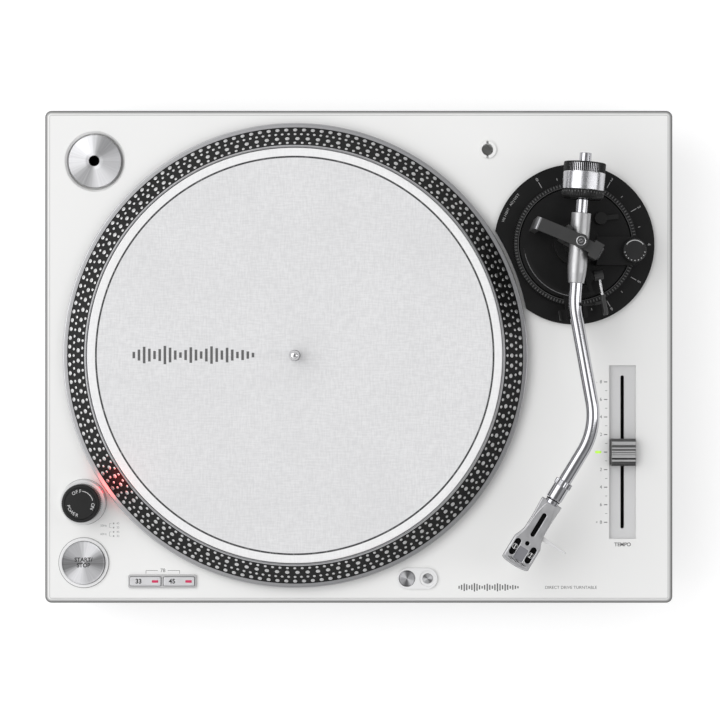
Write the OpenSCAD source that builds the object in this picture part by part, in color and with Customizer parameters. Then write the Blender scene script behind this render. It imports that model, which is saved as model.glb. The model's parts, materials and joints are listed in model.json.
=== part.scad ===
// Direct-drive turntable with an S-shaped tonearm.
// Origin: centre of the footprint on the surface it stands on. +X right, +Y rear, +Z up. Millimetres.

/* [Cabinet] */
// Width of the cabinet, left to right
cabinet_w = 450; // [446:1:470]
// Depth of the cabinet, front to rear
cabinet_d = 353; // [351:1:370]
// Height of the deck surface above the table
deck_z = 80; // [78:0.5:82]
// Height where the top cabinet meets the bottom case
split_z = 50; // [49:0.5:52]
// Height of the underside of the bottom case
case_z = 22; // [21.8:0.1:22.4]
// Corner radius seen from above
corner_r = 4.7; // [3:0.1:8]
// Thickness of the cabinet's walls and deck
wall = 4; // [3:0.5:4.5]
// How far the bottom case sits inside the cabinet's outline
case_inset = 4; // [2:0.5:6]
// Width of the bevel around the deck
bevel_w = 3.2; // [1:0.1:5]
// Depth of the bevel around the deck
bevel_h = 2; // [0.5:0.1:2.5]

/* [Feet] */
// Radius of a foot
foot_r = 29; // [24:0.5:30]
// Distance of a foot's centre from the cabinet's edges
foot_inset = 45; // [40:1:50]
// Radius of a foot's stud
stud_r = 5; // [4:0.1:6]
// Thickness of the rubber pad under a foot
pad_t = 3.5; // [2:0.1:5]

/* [Platter] */
// Platter centre, right of the origin
platter_x = -45.3; // [-47:0.1:-44]
// Platter centre, behind the origin
platter_y = 0.9; // [0:0.1:2]
// Outer radius of the platter
platter_r = 166; // [165:0.1:166.5]
// Outer radius of the dotted band
band_out_r = 162.9; // [161:0.1:163.5]
// Inner radius of the dotted band
band_in_r = 149.1; // [148.8:0.1:150]
// Radius of the slipmat
mat_r = 147.1; // [140:0.1:147.2]
// Thickness of the slipmat
mat_t = 2.2; // [1.5:0.1:3]
// Gap between the deck and the platter
platter_gap = 2.5; // [2:0.1:4]
// Height of the slipmat's bed above the deck
bed_h = 18.8; // [18:0.1:20]
// Radius of the record spindle
spindle_r = 3.6; // [3.5:0.01:3.62]
// Height of the spindle above the slipmat
spindle_h = 13; // [10:0.5:14]

/* [Tonearm] */
// Tonearm pivot, right of the origin
arm_x = 154.2; // [153:0.1:155]
// Tonearm pivot, behind the origin
arm_y = 80.4; // [79:0.1:82]
// Height of the arm tube's axis above the table
arm_z = 120; // [119:0.1:122]
// Outer radius of the arm tube
tube_r = 4.6; // [4.3:0.05:4.6]
// Wall of the arm tube
tube_t = 0.8; // [0.6:0.1:1]
// Radius of the tonearm base plate
base_r = 57.3; // [56:0.1:60]
// Outer radius of the height ring
ring_r = 44; // [43:0.1:44.5]
// Radius of the arm deck that the ring raises
arm_deck_r = 39.4; // [39:0.1:39.6]
// Direction of the arm housing's front end
housing_dir = 265.7; // [264:0.1:268]
// Direction of the horizontal bearings
bearing_dir = -30; // [-33:0.5:-26]
// Direction of the bridge that carries the upper bearing
bridge_dir = 157.4; // [150:0.1:165]
// Radius of the counterweight
weight_r = 14.7; // [13:0.1:15]

/* [Controls] */
// Centre of the power knob
power_at = [-197, -104];
// Radius of the power knob
power_r = 13.7; // [12:0.1:14]
// Centre of the start and stop button
start_at = [-197, -147.5];
// Radius of the start and stop button
start_r = 15.3; // [14:0.1:16]
// Centre of the speed button frame
speed_at = [-140.7, -160.8];
// Size of one speed button
speed_size = [22, 6.3];
// Distance of each speed button from the frame's centre
speed_dx = 12; // [11.6:0.1:12.4]
// Centre of the stylus lamp
lamp_at = [34.6, -158.8];
// Radius of the stylus lamp
lamp_r = 5.7; // [5:0.1:6]
// Distance from the stylus lamp to its button
lamp_button_dx = 14.7; // [14:0.1:15]
// Radius of the lamp's button
lamp_button_r = 3.4; // [3:0.1:3.6]
// Centre of the tempo slider
tempo_at = [189.1, -68.3];
// Size of the tempo slider's recess
tempo_size = [19.1, 124.2];
// Size of the tempo slider's knob
knob_size = [17.3, 19.3];
// Centre of the adapter well
adapter_at = [-189, 140];
// Radius of the 45 rpm adapter
adapter_r = 18.75; // [18:0.05:19]
// Centre of the headshell stand
stand_at = [92.3, 148.5];
// Bore radius of the headshell stand
stand_r = 4.2; // [4:0.05:4.4]

/* [Rear panel] */
// Centre of the connector bay, right of the origin
bay_x = -110; // [-115:1:-100]
// Width of the connector bay
bay_w = 140; // [138:1:150]
// Depth of the connector bay
bay_d = 14.5; // [14:0.5:16]
// Radius of a phono jack's barrel
jack_r = 4.15; // [4.1:0.05:4.2]

/* [Hidden] */
$fn = 96;

// Clearances
run = 0.05; // radial clearance of a running fit
gap = 0.3; // clearance between pieces that pass each other
cut = 1; // how far a cutting shape runs past a face
shaft_r = spindle_r - 0.6; // spindle below the top of the slipmat

// Heights
deck_under_z = deck_z - wall;
floor_z = case_z + wall;
platter_z = deck_z + platter_gap;
bed_z = deck_z + bed_h;
mat_top_z = bed_z + mat_t;
spindle_top_z = mat_top_z + spindle_h;
well_floor_z = deck_z - 14;
bearing_z = 45;
board_z = floor_z + 4;

// Outline of the bottom case
case_w = cabinet_w - 2 * case_inset;
case_d = cabinet_d - 2 * case_inset;
case_back_y = case_d / 2;

// Feet and the screws that join the two case halves
foot_x = cabinet_w / 2 - foot_inset;
foot_y = cabinet_d / 2 - foot_inset;
FEET = [[-foot_x, -foot_y], [foot_x, -foot_y], [foot_x, foot_y], [-foot_x, foot_y]];
screw_x = case_w / 2 - 8.5;
screw_y = case_d / 2 - 8.5;
SCREWS = [[-screw_x, -screw_y], [0, -screw_y], [screw_x, -screw_y], [screw_x, screw_y], [0, screw_y],
    [-screw_x, screw_y], [-screw_x, 0], [screw_x, -2]];
screw_r = 1.6;
boss_r = 5;

// Motor
well_r = 61;
magnet_in_r = 20;
magnet_out_r = 38;
magnet_h = 6.4;
coil_count = 12;
coil_ring_r = 30;

// Tonearm base heights
base_top_z = deck_z + 3.5;
ring_top_z = base_top_z + 8;
ring_lip_z = base_top_z + 4;
arm_deck_z = ring_top_z - gap;
arm_bore_r = 37;
collar_r = 45.3;
pedestal_z = arm_z - 12.5;

// Arm housing, along its own axis, forward of the pivot
housing_rear = -20.2;
housing_front = 29;
housing_r = 6.9;
stub_r = 4.2;
stub_end = -62.4;
tube_start = 20;

// Route of the arm tube: straight, bend, straight, bend, straight
straight_1 = housing_front - tube_start + 8.1;
bend_1_r = 60;
bend_1 = 14.5;
straight_2 = 61;
bend_2_r = 50;
bend_2 = -41.5;
straight_3 = 38.9;
nut_l = 14.9;

function dir(a) = [cos(a), sin(a)];
function left_of(a) = [-sin(a), cos(a)];
function after_bend(p, a, r, t) = p + sign(t) * r * (left_of(a) - left_of(a + t));

dir_2 = housing_dir + bend_1;
shell_dir = dir_2 + bend_2;
p_1 = (tube_start + straight_1) * dir(housing_dir);
p_2 = after_bend(p_1, housing_dir, bend_1_r, bend_1);
p_3 = p_2 + straight_2 * dir(dir_2);
p_4 = after_bend(p_3, dir_2, bend_2_r, bend_2);
shell_at = p_4 + straight_3 * dir(shell_dir);

// Headshell, from the end of the nut forward
shell_t = 3;
cartridge_x = 41.8;
stylus_x = 50.5;
stylus_drop = 17.4;
screw_spacing = 12.7;

// Counterweight, along the housing axis
weight_back = -55.5;
weight_knurl = -48.3;
weight_front = -36;
dial_front = -30;
sleeve_r = 6.5;
dial_bore_r = 9;

// Lift and cue lever
lift_at = [6.6, -24.4];
lift_r = 5;
lift_travel = 2.8;
rail_r = 37;
rail_top_z = arm_z - tube_r - gap - lift_travel;
lever_z = 103;

// Arm rest, in its own direction
rest_at = [-2.35, -50];
rest_dir = 8.2;
saddle_z = arm_z - tube_r - 0.8;
clamp_pivot = 6.8;
clamp_open = 100;

// Anti-skating bracket and knob
anti_at = [40.2, -5.5];
anti_r = 8.4;
bracket_z = arm_z - 17;

// Connector bay, from left to right seen from above
bay_back_y = case_back_y;
bay_wall_y = bay_back_y - bay_d;
bay_low_z = floor_z;
bay_high_z = split_z;
bay_mid_z = (bay_low_z + bay_high_z) / 2;
bay_t = 2;
ground_x = bay_x - 42;
jack_xs = [bay_x - 27, bay_x - 11];
switch_x = bay_x + 6;
usb_x = bay_x + 23;
inlet_x = bay_x + 48;

// A plate with rounded corners, standing on the current plane
module plate(w, d, r, h) {
    linear_extrude(h) {
        square([w - 2 * r, d], center = true);
        square([w, d - 2 * r], center = true);
        for (sx = [-1, 1], sy = [-1, 1])
            translate([sx * (w / 2 - r), sy * (d / 2 - r)]) circle(r);
    }
}

// A plate with fully round ends, longer side along X
module pill(w, d, h) {
    linear_extrude(h) {
        square([w - d, d], center = true);
        for (s = [-1, 1]) translate([s * (w - d) / 2, 0]) circle(d / 2);
    }
}

// A ring standing on the current plane
module ring(r_out, r_in, h) {
    rotate_extrude() translate([r_in, 0]) square([r_out - r_in, h]);
}

module at(p, z = 0) {
    translate([p[0], p[1], z]) children();
}

module at_platter(z = 0) {
    translate([platter_x, platter_y, z]) children();
}

module at_arm(z = 0) {
    translate([arm_x, arm_y, z]) children();
}

// The arm's own frame: +X towards the headshell end of the housing
module along_housing() {
    at_arm(arm_z) rotate([0, 0, housing_dir]) children();
}

// A cylinder along X, from a to b
module rod_x(r, a, b) {
    translate([a, 0, 0]) rotate([0, 90, 0]) cylinder(r = r, h = b - a);
}

// The headshell's frame: +X forward, Z = 0 on the tube's axis
module at_shell() {
    at_arm(arm_z) translate([shell_at[0], shell_at[1], 0]) rotate([0, 0, shell_dir]) children();
}

// ---------------------------------------------------------------- cabinet

module cabinet_blank() {
    translate([0, 0, split_z]) plate(cabinet_w, cabinet_d, corner_r, deck_z - bevel_h - split_z);
    hull() {
        for (sx = [-1, 1], sy = [-1, 1])
            translate([sx * (cabinet_w / 2 - corner_r), sy * (cabinet_d / 2 - corner_r), deck_z - bevel_h])
                cylinder(r1 = corner_r, r2 = corner_r - bevel_w, h = bevel_h, $fn = 32);
    }
}

module deck_openings() {
    at_platter(well_floor_z) cylinder(r = well_r, h = 20);
    at_platter(well_floor_z - 2 * wall) cylinder(r = 8, h = 20);
    at(adapter_at, deck_z - 5) cylinder(r = 20.2, h = 10);
    at(adapter_at, deck_z - 1.6) cylinder(r1 = 20.2, r2 = 21.8, h = 1.61);
    at(stand_at, deck_under_z - cut) cylinder(r = 6, h = 10);
    at_arm(deck_under_z - cut) cylinder(r = collar_r + 0.1, h = 10);
    at(power_at, deck_under_z - cut) cylinder(r = 6.5, h = 10);
    at(start_at, deck_under_z - cut) cylinder(r = start_r + gap, h = 10);
    at(lamp_at, deck_under_z - cut) cylinder(r = lamp_r + 0.2, h = 10);
    at(lamp_at + [lamp_button_dx, 0], deck_under_z - cut) cylinder(r = lamp_button_r + 0.2, h = 10);
    at(tempo_at, deck_under_z - cut) translate([-tempo_size[0] / 2, -tempo_size[1] / 2, 0])
        cube([tempo_size[0], tempo_size[1], 10]);
    for (s = [-1, 1])
        at(speed_at + [s * speed_dx, 0], deck_under_z - cut)
            plate(speed_size[0] + 2 * gap, speed_size[1] + 2 * gap, 0.8, 10);
}

module top_cabinet() {
    color("whitesmoke") difference() {
        union() {
            difference() {
                cabinet_blank();
                translate([0, 0, split_z - cut])
                    plate(cabinet_w - 2 * wall, cabinet_d - 2 * wall, 1.5, deck_under_z - split_z + cut);
            }
            at_platter(well_floor_z - 3) cylinder(r = well_r + 3, h = deck_under_z - well_floor_z + 3.5);
            at(adapter_at, deck_z - 8) cylinder(r = 24, h = 4.5);
            for (p = SCREWS) at(p, split_z) cylinder(r = boss_r, h = deck_under_z - split_z + 0.5);
        }
        deck_openings();
        for (p = SCREWS) at(p, split_z - cut) cylinder(r = screw_r, h = 14);
    }
}

module bottom_case() {
    color("dimgray") difference() {
        union() {
            difference() {
                translate([0, 0, case_z]) plate(case_w, case_d, corner_r, split_z - case_z);
                translate([0, 0, floor_z]) plate(case_w - 2 * wall, case_d - 2 * wall, 1.5, split_z);
            }
            for (p = FEET) at(p, case_z) cylinder(r = 14, h = 22);
            for (p = SCREWS) at(p, case_z) cylinder(r = boss_r, h = split_z - case_z);
            for (x = [-150, -40], y = [-140, -80]) at([x, y], case_z) cylinder(r = 3, h = board_z - case_z);
            for (x = [-150, -60], y = [85, 125]) at([x, y], case_z) cylinder(r = 3, h = board_z - case_z);
        }
        for (p = FEET) at(p, case_z - cut) cylinder(r = stud_r + run, h = 30);
        for (p = SCREWS) {
            at(p, case_z - cut) cylinder(r = screw_r, h = 40);
            at(p, case_z - cut) cylinder(r = 3.6, h = 4);
        }
        translate([bay_x - bay_w / 2, bay_back_y - wall - cut, bay_low_z])
            cube([bay_w, 20, bay_high_z - bay_low_z + cut]);
        for (x = [90:14:146], y = [-40:16:40]) at([x, y], case_z - cut) pill(11, 3, 10);
    }
}

module case_screws() {
    color("silver") for (p = SCREWS) at(p, case_z + 0.4) difference() {
        union() {
            cylinder(r = 3.3, h = 2.6);
            cylinder(r = screw_r, h = 36);
        }
        for (a = [0, 90]) rotate(a) translate([-2, -0.4, -0.1]) cube([4, 0.8, 1.3]);
    }
}

// ---------------------------------------------------------------- inside

module main_board() {
    color("darkgreen") {
        translate([-157, -147, board_z]) cube([124, 74, 1.6]);
        translate([-120, -130, board_z + 1.6]) cube([14, 14, 1.8]);
        translate([-95, -125, board_z + 1.6]) cube([10, 20, 1.8]);
        for (x = [-75:11:-45]) at([x, -100], board_z + 1.6) cylinder(r = 4, h = 11);
        for (x = [-140, -120]) translate([x, -95, board_z + 1.6]) cube([12, 5, 7]);
    }
}

module power_board() {
    color("darkolivegreen") {
        translate([-157, 79, board_z]) cube([104, 52, 1.6]);
        translate([-148, 90, board_z + 1.6]) cube([26, 24, 13]);
        at([-105, 102], board_z + 1.6) cylinder(r = 8, h = 13);
        translate([-90, 92, board_z + 1.6]) cube([16, 5, 12]);
        at([-68, 115], board_z + 1.6) cylinder(r = 5, h = 9);
    }
}

module motor_stator() {
    color("darkgoldenrod") {
        at_platter(well_floor_z) ring(58, 8.5, 2);
        for (i = [0:coil_count - 1]) at_platter(well_floor_z + 2) rotate(i * 360 / coil_count)
            translate([coil_ring_r, 0, 0]) difference() {
                cylinder(r = 6.6, h = 8);
                translate([0, 0, 1.5]) cylinder(r = 2.4, h = 8);
            }
    }
}

module spindle_bearing() {
    color("goldenrod") at_platter(bearing_z) difference() {
        union() {
            cylinder(r = 8, h = deck_under_z - bearing_z);
            translate([0, 0, well_floor_z - 3 - bearing_z - 4]) cylinder(r = 14, h = 4);
        }
        translate([0, 0, 3]) cylinder(r = shaft_r + run, h = 60);
    }
}

module tempo_pot() {
    color("slategray") at(tempo_at, 0) difference() {
        translate([-6, -66, deck_z - 16]) cube([12, 132, 9]);
        translate([-1.6, -57, deck_z - 14]) cube([3.2, 114, 12]);
    }
}

// ---------------------------------------------------------------- connector bay

module bay_hole_y(p_x, r) {
    translate([p_x, bay_wall_y - cut, bay_mid_z]) rotate([-90, 0, 0]) cylinder(r = r, h = bay_t + 2 * cut);
}

module rear_panel() {
    color("black") {
        difference() {
            translate([bay_x - bay_w / 2, bay_wall_y, bay_low_z])
                cube([bay_w, bay_d, bay_high_z - bay_low_z]);
            translate([bay_x - bay_w / 2 + bay_t, bay_wall_y + bay_t, bay_low_z + bay_t])
                cube([bay_w - 2 * bay_t, 30, bay_high_z - bay_low_z - 2 * bay_t]);
            for (x = jack_xs) bay_hole_y(x, 4);
            translate([switch_x - 5, bay_wall_y - cut, bay_mid_z - 1.8]) cube([10, 5, 3.6]);
            translate([usb_x - 6, bay_wall_y - cut, bay_mid_z - 5.5]) cube([12, 5, 11]);
            translate([inlet_x - 12.5, bay_wall_y - cut, bay_mid_z - 8.5]) cube([25, 5, 17]);
        }
        translate([ground_x, bay_wall_y + bay_t, bay_mid_z]) rotate([-90, 0, 0])
            cylinder(r = 2, h = bay_d - bay_t - 1);
    }
}

module rca_jacks() {
    color("gainsboro") for (x = jack_xs) translate([x, 0, bay_mid_z]) rotate([-90, 0, 0]) difference() {
        union() {
            translate([0, 0, bay_wall_y - 8]) cylinder(r = 4, h = 12);
            translate([0, 0, bay_wall_y - 2]) cylinder(r = 6, h = 2);
            translate([0, 0, bay_wall_y + bay_t]) cylinder(r = 6.2, h = 1.6);
            translate([0, 0, bay_wall_y + bay_t]) cylinder(r = jack_r, h = 10.5);
        }
        translate([0, 0, bay_wall_y + 4]) cylinder(r = 1.65, h = 20);
    }
}

module usb_port() {
    color("silver") translate([usb_x, bay_wall_y, bay_mid_z]) {
        difference() {
            translate([-6, -10, -5.5]) cube([12, 13.5, 11]);
            translate([-4.3, -8, -3.9]) cube([8.6, 20, 7.8]);
        }
        translate([-2.8, -8, -1.6]) cube([5.6, 6, 3.2]);
    }
}

module power_inlet() {
    color("dimgray") translate([inlet_x, bay_wall_y, bay_mid_z]) {
        difference() {
            union() {
                translate([-12.5, -16, -8.5]) cube([25, 19, 17]);
                translate([-14, bay_t, -9.4]) cube([28, 1.5, 18.8]);
            }
            translate([-11.2, -14, -7.2]) cube([22.4, 30, 14.4]);
        }
        for (p = [[-7, -2], [0, 2.2], [7, -2]]) translate([p[0] - 1, -14, p[1] - 2]) cube([2, 11.5, 4]);
    }
}

module ground_nut() {
    color("silver") translate([ground_x, bay_wall_y + bay_t + gap, bay_mid_z]) rotate([-90, 0, 0])
        difference() {
            union() {
                cylinder(r = 5, h = 6);
                cylinder(r = 3.5, h = 8);
            }
            translate([0, 0, -cut]) cylinder(r = 2 + run, h = 20);
            for (a = [0:20:340]) rotate(a) translate([5.1, 0, -cut]) cylinder(r = 0.4, h = 20);
        }
}

module line_switch() {
    color("black") translate([switch_x - 2, 0, bay_mid_z]) {
        translate([-1.8, bay_wall_y - gap, -1.5]) cube([3.6, 5.5, 3]);
        translate([-6, bay_wall_y - 2, -3]) cube([12, 2 - gap, 6]);
    }
}

// ---------------------------------------------------------------- feet

module foot_stud(i) {
    color("silver") at(FEET[i], 0) {
        translate([0, 0, 9]) cylinder(r = stud_r, h = 32);
    }
}

module foot(i) {
    color("dimgray") at(FEET[i], 0) {
        difference() {
            rotate_extrude() polygon([[0, pad_t], [foot_r, pad_t], [foot_r, 12], [foot_r - 1.5, 13.5],
                [22, 14.5], [20.5, 16], [20.5, case_z - gap], [0, case_z - gap]]);
            translate([0, 0, 9 - gap]) cylinder(r = stud_r + run, h = 30);
        }
        ring(foot_r - 2.5, foot_r - 10, pad_t);
        cylinder(r = foot_r - 14, h = pad_t);
    }
}

// ---------------------------------------------------------------- platter

module platter() {
    color("silver") at_platter() difference() {
        rotate_extrude($fn = 180) polygon([
            [shaft_r, bed_z - 14], [magnet_out_r + 3, bed_z - 14], [magnet_out_r + 5, bed_z - 5.5],
            [142, bed_z - 5.5], [156, platter_z + 3.5], [158, platter_z], [platter_r, platter_z],
            [platter_r, platter_z + 4], [platter_r - 0.8, platter_z + 4.8], [band_out_r, platter_z + 4.8],
            [band_in_r, bed_z + 0.9], [band_in_r - 0.6, bed_z + 1.5], [mat_r + gap + 0.4, bed_z + 1.5],
            [mat_r + gap, bed_z + 1.1], [mat_r + gap, bed_z], [shaft_r, bed_z]]);
        for (a = [0:60:300]) rotate(a) translate([95, 0, bed_z - 8]) cylinder(r = 6, h = 6);
    }
}

module rotor_magnet() {
    color("dimgray") at_platter(bed_z - 14 - magnet_h) ring(magnet_out_r, magnet_in_r, magnet_h);
}

module spindle() {
    color("gainsboro") at_platter() rotate_extrude() polygon([
        [0, bearing_z + 3.1], [shaft_r, bearing_z + 3.1], [shaft_r, mat_top_z + 0.5],
        [spindle_r, mat_top_z + 0.5], [spindle_r, spindle_top_z - 3.5],
        [spindle_r - 0.5, spindle_top_z - 1.5], [1.6, spindle_top_z], [0, spindle_top_z]]);
}

module slipmat() {
    color("gainsboro") at_platter(bed_z) difference() {
        cylinder(r = mat_r, h = mat_t, $fn = 180);
        translate([0, 0, -cut]) cylinder(r = spindle_r + 0.1, h = mat_t + 2 * cut);
    }
}

module ep_adapter() {
    color("silver") at(adapter_at, deck_z - 5) rotate_extrude() polygon([
        [3.8, 0], [adapter_r, 0], [adapter_r, 7], [adapter_r - 0.6, 7.6], [17.4, 7.6], [6.5, 10.6],
        [3.8, 10.6]]);
}

// ---------------------------------------------------------------- controls

module button_bezels() {
    color("silver") {
        at(power_at, deck_z) difference() {
            cylinder(r = 15.9, h = 9);
            translate([0, 0, -cut]) cylinder(r = 6 + run, h = 20);
        }
        at(start_at, deck_z) ring(17.6, start_r + gap, 1.4);
    }
}

module power_knob() {
    color("black") at(power_at, 0) {
        translate([0, 0, deck_z + 9 + gap]) difference() {
            rotate_extrude() polygon([[0, 0], [power_r, 0], [power_r, 10], [power_r - 0.8, 10.8],
                [power_r - 3, 11.2], [0, 11.2]]);
            for (a = [0:12:348]) rotate(a) translate([power_r + 0.5, 0, -cut]) cylinder(r = 0.8, h = 10);
        }
        translate([0, 0, deck_z - 8]) cylinder(r = 6, h = 17.5);
    }
}

module start_stop_button() {
    color("silver") at(start_at, 0) {
        translate([0, 0, deck_under_z - 3.3]) cylinder(r = start_r, h = wall + 6);
        translate([0, 0, deck_under_z - 3.3]) cylinder(r = start_r + 1.2, h = 3);
    }
}

module speed_bezel() {
    color("dimgray") at(speed_at, deck_z) difference() {
        plate(48.7, 9.5, 1.2, 1.3);
        for (s = [-1, 1]) translate([s * speed_dx, 0, -cut])
            plate(speed_size[0] + 2 * gap, speed_size[1] + 2 * gap, 0.8, 5);
    }
}

module speed_button(s) {
    color("gainsboro") at(speed_at + [s * speed_dx, 0], 0) {
        translate([0, 0, deck_under_z - 3.3]) plate(speed_size[0], speed_size[1], 0.8, wall + 5.6);
        translate([0, 0, deck_under_z - 3.3]) plate(speed_size[0], speed_size[1] + 3, 0.8, 3);
    }
}

module lamp_bezel() {
    color("silver") at(lamp_at + [lamp_button_dx / 2, 0], deck_z) difference() {
        pill(28.8, 15, 1.4);
        translate([-lamp_button_dx / 2, 0, -cut]) cylinder(r = lamp_r + 0.2, h = 5);
        translate([lamp_button_dx / 2, 0, -cut]) cylinder(r = lamp_button_r + 0.2, h = 5);
        translate([lamp_button_dx / 2, 0, 0.9]) cylinder(r = 5.7, h = 5);
    }
}

module target_lamp() {
    color("gray") at(lamp_at, deck_z - 36) difference() {
        union() {
            cylinder(r = lamp_r, h = 37);
            translate([0, 0, 37]) cylinder(r1 = lamp_r, r2 = lamp_r - 0.7, h = 0.7);
            cylinder(r = lamp_r + 1.4, h = 3);
        }
        translate([-6, 2.6, 29]) cube([12, 10, 5]);
    }
}

module lamp_button() {
    color("gray") at(lamp_at + [lamp_button_dx, 0], 0) {
        translate([0, 0, deck_under_z - 3.3]) cylinder(r = lamp_button_r, h = wall + 5);
        translate([0, 0, deck_under_z - 3.3]) cylinder(r = lamp_button_r + 1.6, h = 3);
    }
}

module tempo_panel() {
    color("lightgray") at(tempo_at, deck_under_z + 0.2) difference() {
        union() {
            translate([-tempo_size[0] / 2, -tempo_size[1] / 2, 0]) cube([tempo_size[0], tempo_size[1], 1.8]);
            translate([-tempo_size[0] / 2 - 3, -tempo_size[1] / 2 - 3, -1.7])
                cube([tempo_size[0] + 6, tempo_size[1] + 6, 1.5]);
            translate([-tempo_size[0] / 2, -tempo_size[1] / 2, -1]) cube([tempo_size[0], tempo_size[1], 2]);
        }
        translate([0, 0, -5]) rotate(90) pill(110, 2.6, 12);
    }
}

module tempo_knob() {
    color("silver") at(tempo_at, deck_under_z + 2.6) {
        difference() {
            translate([-knob_size[0] / 2, 0, 0]) rotate([90, 0, 90]) linear_extrude(knob_size[0])
                polygon([[-knob_size[1] / 2, 0], [knob_size[1] / 2, 0], [knob_size[1] / 2, 5.5], [6.8, 10],
                    [-6.3, 10], [-knob_size[1] / 2, 6]]);
            for (y = [-4:2.6:6.4]) translate([-10, y - 0.4, 9.2]) cube([20, 0.8, 2]);
        }
        translate([-1, -2.5, -12]) cube([2, 5, 12.5]);
    }
}

// ---------------------------------------------------------------- headshell stand and arm base

module headshell_stand() {
    color("white") at(stand_at, deck_z - 20) difference() {
        union() {
            cylinder(r = 6, h = 21);
            translate([0, 0, 20]) cylinder(r = 6.4, h = 1);
        }
        translate([0, 0, 2]) cylinder(r = stand_r, h = 30);
        translate([-0.75, -6.2, 16]) cube([1.5, 12.4, 10]);
    }
}

module arm_base() {
    color("black") difference() {
        union() {
            at_arm(deck_z) cylinder(r = base_r, h = base_top_z - deck_z, $fn = 128);
            at_arm(deck_z - 14) cylinder(r = collar_r, h = 14);
        }
        at_arm(deck_z - 20) cylinder(r = arm_bore_r, h = 40);
        at_platter(deck_z - 0.5) cylinder(r = platter_r + 2.5, h = 20, $fn = 180);
    }
}

module height_ring() {
    color("black") at_arm(base_top_z + gap) difference() {
        union() {
            ring(ring_r - 0.6, arm_bore_r + gap, ring_lip_z - base_top_z - gap);
            translate([0, 0, ring_lip_z - base_top_z - gap])
                ring(ring_r - 0.6, arm_deck_r + 0.5, ring_top_z - ring_lip_z);
            for (i = [0:89]) rotate(i * 4) translate([ring_r - 0.9, -0.7, 0.6])
                cube([0.9, 1.4, ring_top_z - base_top_z - gap - 1.2]);
        }
    }
}

module arm_deck() {
    color("black") at_arm() difference() {
        union() {
            translate([0, 0, deck_z - 12]) cylinder(r = arm_bore_r - run, h = arm_deck_z - deck_z + 12);
            translate([0, 0, ring_lip_z + gap]) cylinder(r = arm_deck_r, h = arm_deck_z - ring_lip_z - gap);
            cylinder_from(16, arm_deck_z - 0.5, arm_deck_z + 10);
            cylinder_from(9.5, arm_deck_z, pedestal_z);
            at(lift_at) cylinder_from(lift_r, arm_deck_z - 0.5, arm_z - 13);
            translate([14, anti_at[1] - 10, arm_deck_z - 0.5])
                cube([22, 20, bracket_z - arm_deck_z + 0.5]);
            translate([24, anti_at[1] - 10, ring_top_z + 2])
                cube([anti_at[0] - 24, 20, bracket_z - ring_top_z - 2]);
            at(anti_at) cylinder_from(10, ring_top_z + 2, bracket_z);
        }
        cylinder_from(4 + run, arm_deck_z - 2, arm_z);
        at(lift_at) cylinder_from(2 + run, arm_deck_z - 2, arm_z);
        at(lift_at, lever_z) rotate([0, 0, 10]) rod_x(1.5 + run, 0, 10);
        at(anti_at) cylinder_from(3 + run, bracket_z - 6, arm_z);
        at([17.9, 17.9]) cylinder_from(2 + run, arm_deck_z - 4, arm_z);
        translate([0, 0, deck_z - 20]) cylinder(r = arm_bore_r - 3, h = arm_deck_z - deck_z + 14);
    }
}

module cylinder_from(r, a, b) {
    translate([0, 0, a]) cylinder(r = r, h = b - a);
}

module gimbal_yoke() {
    bar_z = arm_z + 11;
    bar_t = 3;
    color("dimgray") at_arm() rotate([0, 0, bridge_dir]) difference() {
        union() {
            translate([0, -4.5, bar_z]) cube([34, 9, bar_t]);
            translate([0, 0, bar_z]) cylinder(r = 5, h = bar_t);
            translate([0, 0, bar_z + bar_t]) ring(2.8, 1.7, 0.5);
            translate([29.5, -4.5, arm_deck_z]) cube([4.5, 9, bar_z - arm_deck_z + bar_t]);
        }
        translate([31, -10, bar_z + bar_t]) rotate([0, 45, 0]) cube([8, 20, 8]);
        translate([0, 0, bar_z - cut]) cylinder(r = 1.2 + run, h = 3);
    }
}

module arm_rest() {
    color("black") at_arm() at(rest_at) rotate([0, 0, rest_dir]) {
        translate([-4.5, 12.5, arm_deck_z]) cube([9, 4, 4.3]);
        translate([-4.5, -2, ring_top_z + 1.5]) cube([9, 18.5, 2.5]);
        translate([-3, -2, ring_top_z + 1.5]) cube([6, 4, saddle_z - ring_top_z - 5.5]);
        translate([-11, -3.5, saddle_z - 5]) cube([18.2, 7, 2]);
        translate([-11, -3.5, saddle_z - 5]) cube([1.4, 7, 5]);
        translate([-4.5, -2, saddle_z - 3.5]) cube([9, 4, 3.5]);
        difference() {
            translate([5.2, -3.5, saddle_z - 5]) cube([3, 7, 10]);
            translate([clamp_pivot, 0, saddle_z + 3]) rotate([90, 0, 0])
                cylinder(r = 1 + run, h = 20, center = true);
        }
    }
}

// Drawn closed over the tube, then opened
module arm_clamp() {
    color("dimgray") at_arm() at(rest_at) rotate([0, 0, rest_dir])
        translate([clamp_pivot, 3.5 + gap, saddle_z + 3]) rotate([0, clamp_open, 0]) {
            translate([0, -7.6, 0]) rotate([-90, 0, 0]) cylinder(r = 1, h = 9);
            translate([-1.4, 0, -1.4]) cube([2.8, 2, 10.2]);
            translate([-13.4, 0, 7.4]) cube([14.8, 2, 1.4]);
            translate([-13.4, 0, 4.6]) cube([1.2, 2, 3]);
        }
}

module height_lock_lever() {
    color("black") at_arm(arm_deck_z) at([17.9, 17.9]) rotate([0, 0, 6.5]) {
        translate([0, 0, gap]) cylinder(r = 4.4, h = 5);
        translate([0, -1.7, gap + 1]) cube([12.4, 3.4, 3]);
        translate([0, 0, -3.5]) cylinder(r = 2, h = 5);
    }
}

// ---------------------------------------------------------------- arm

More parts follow.
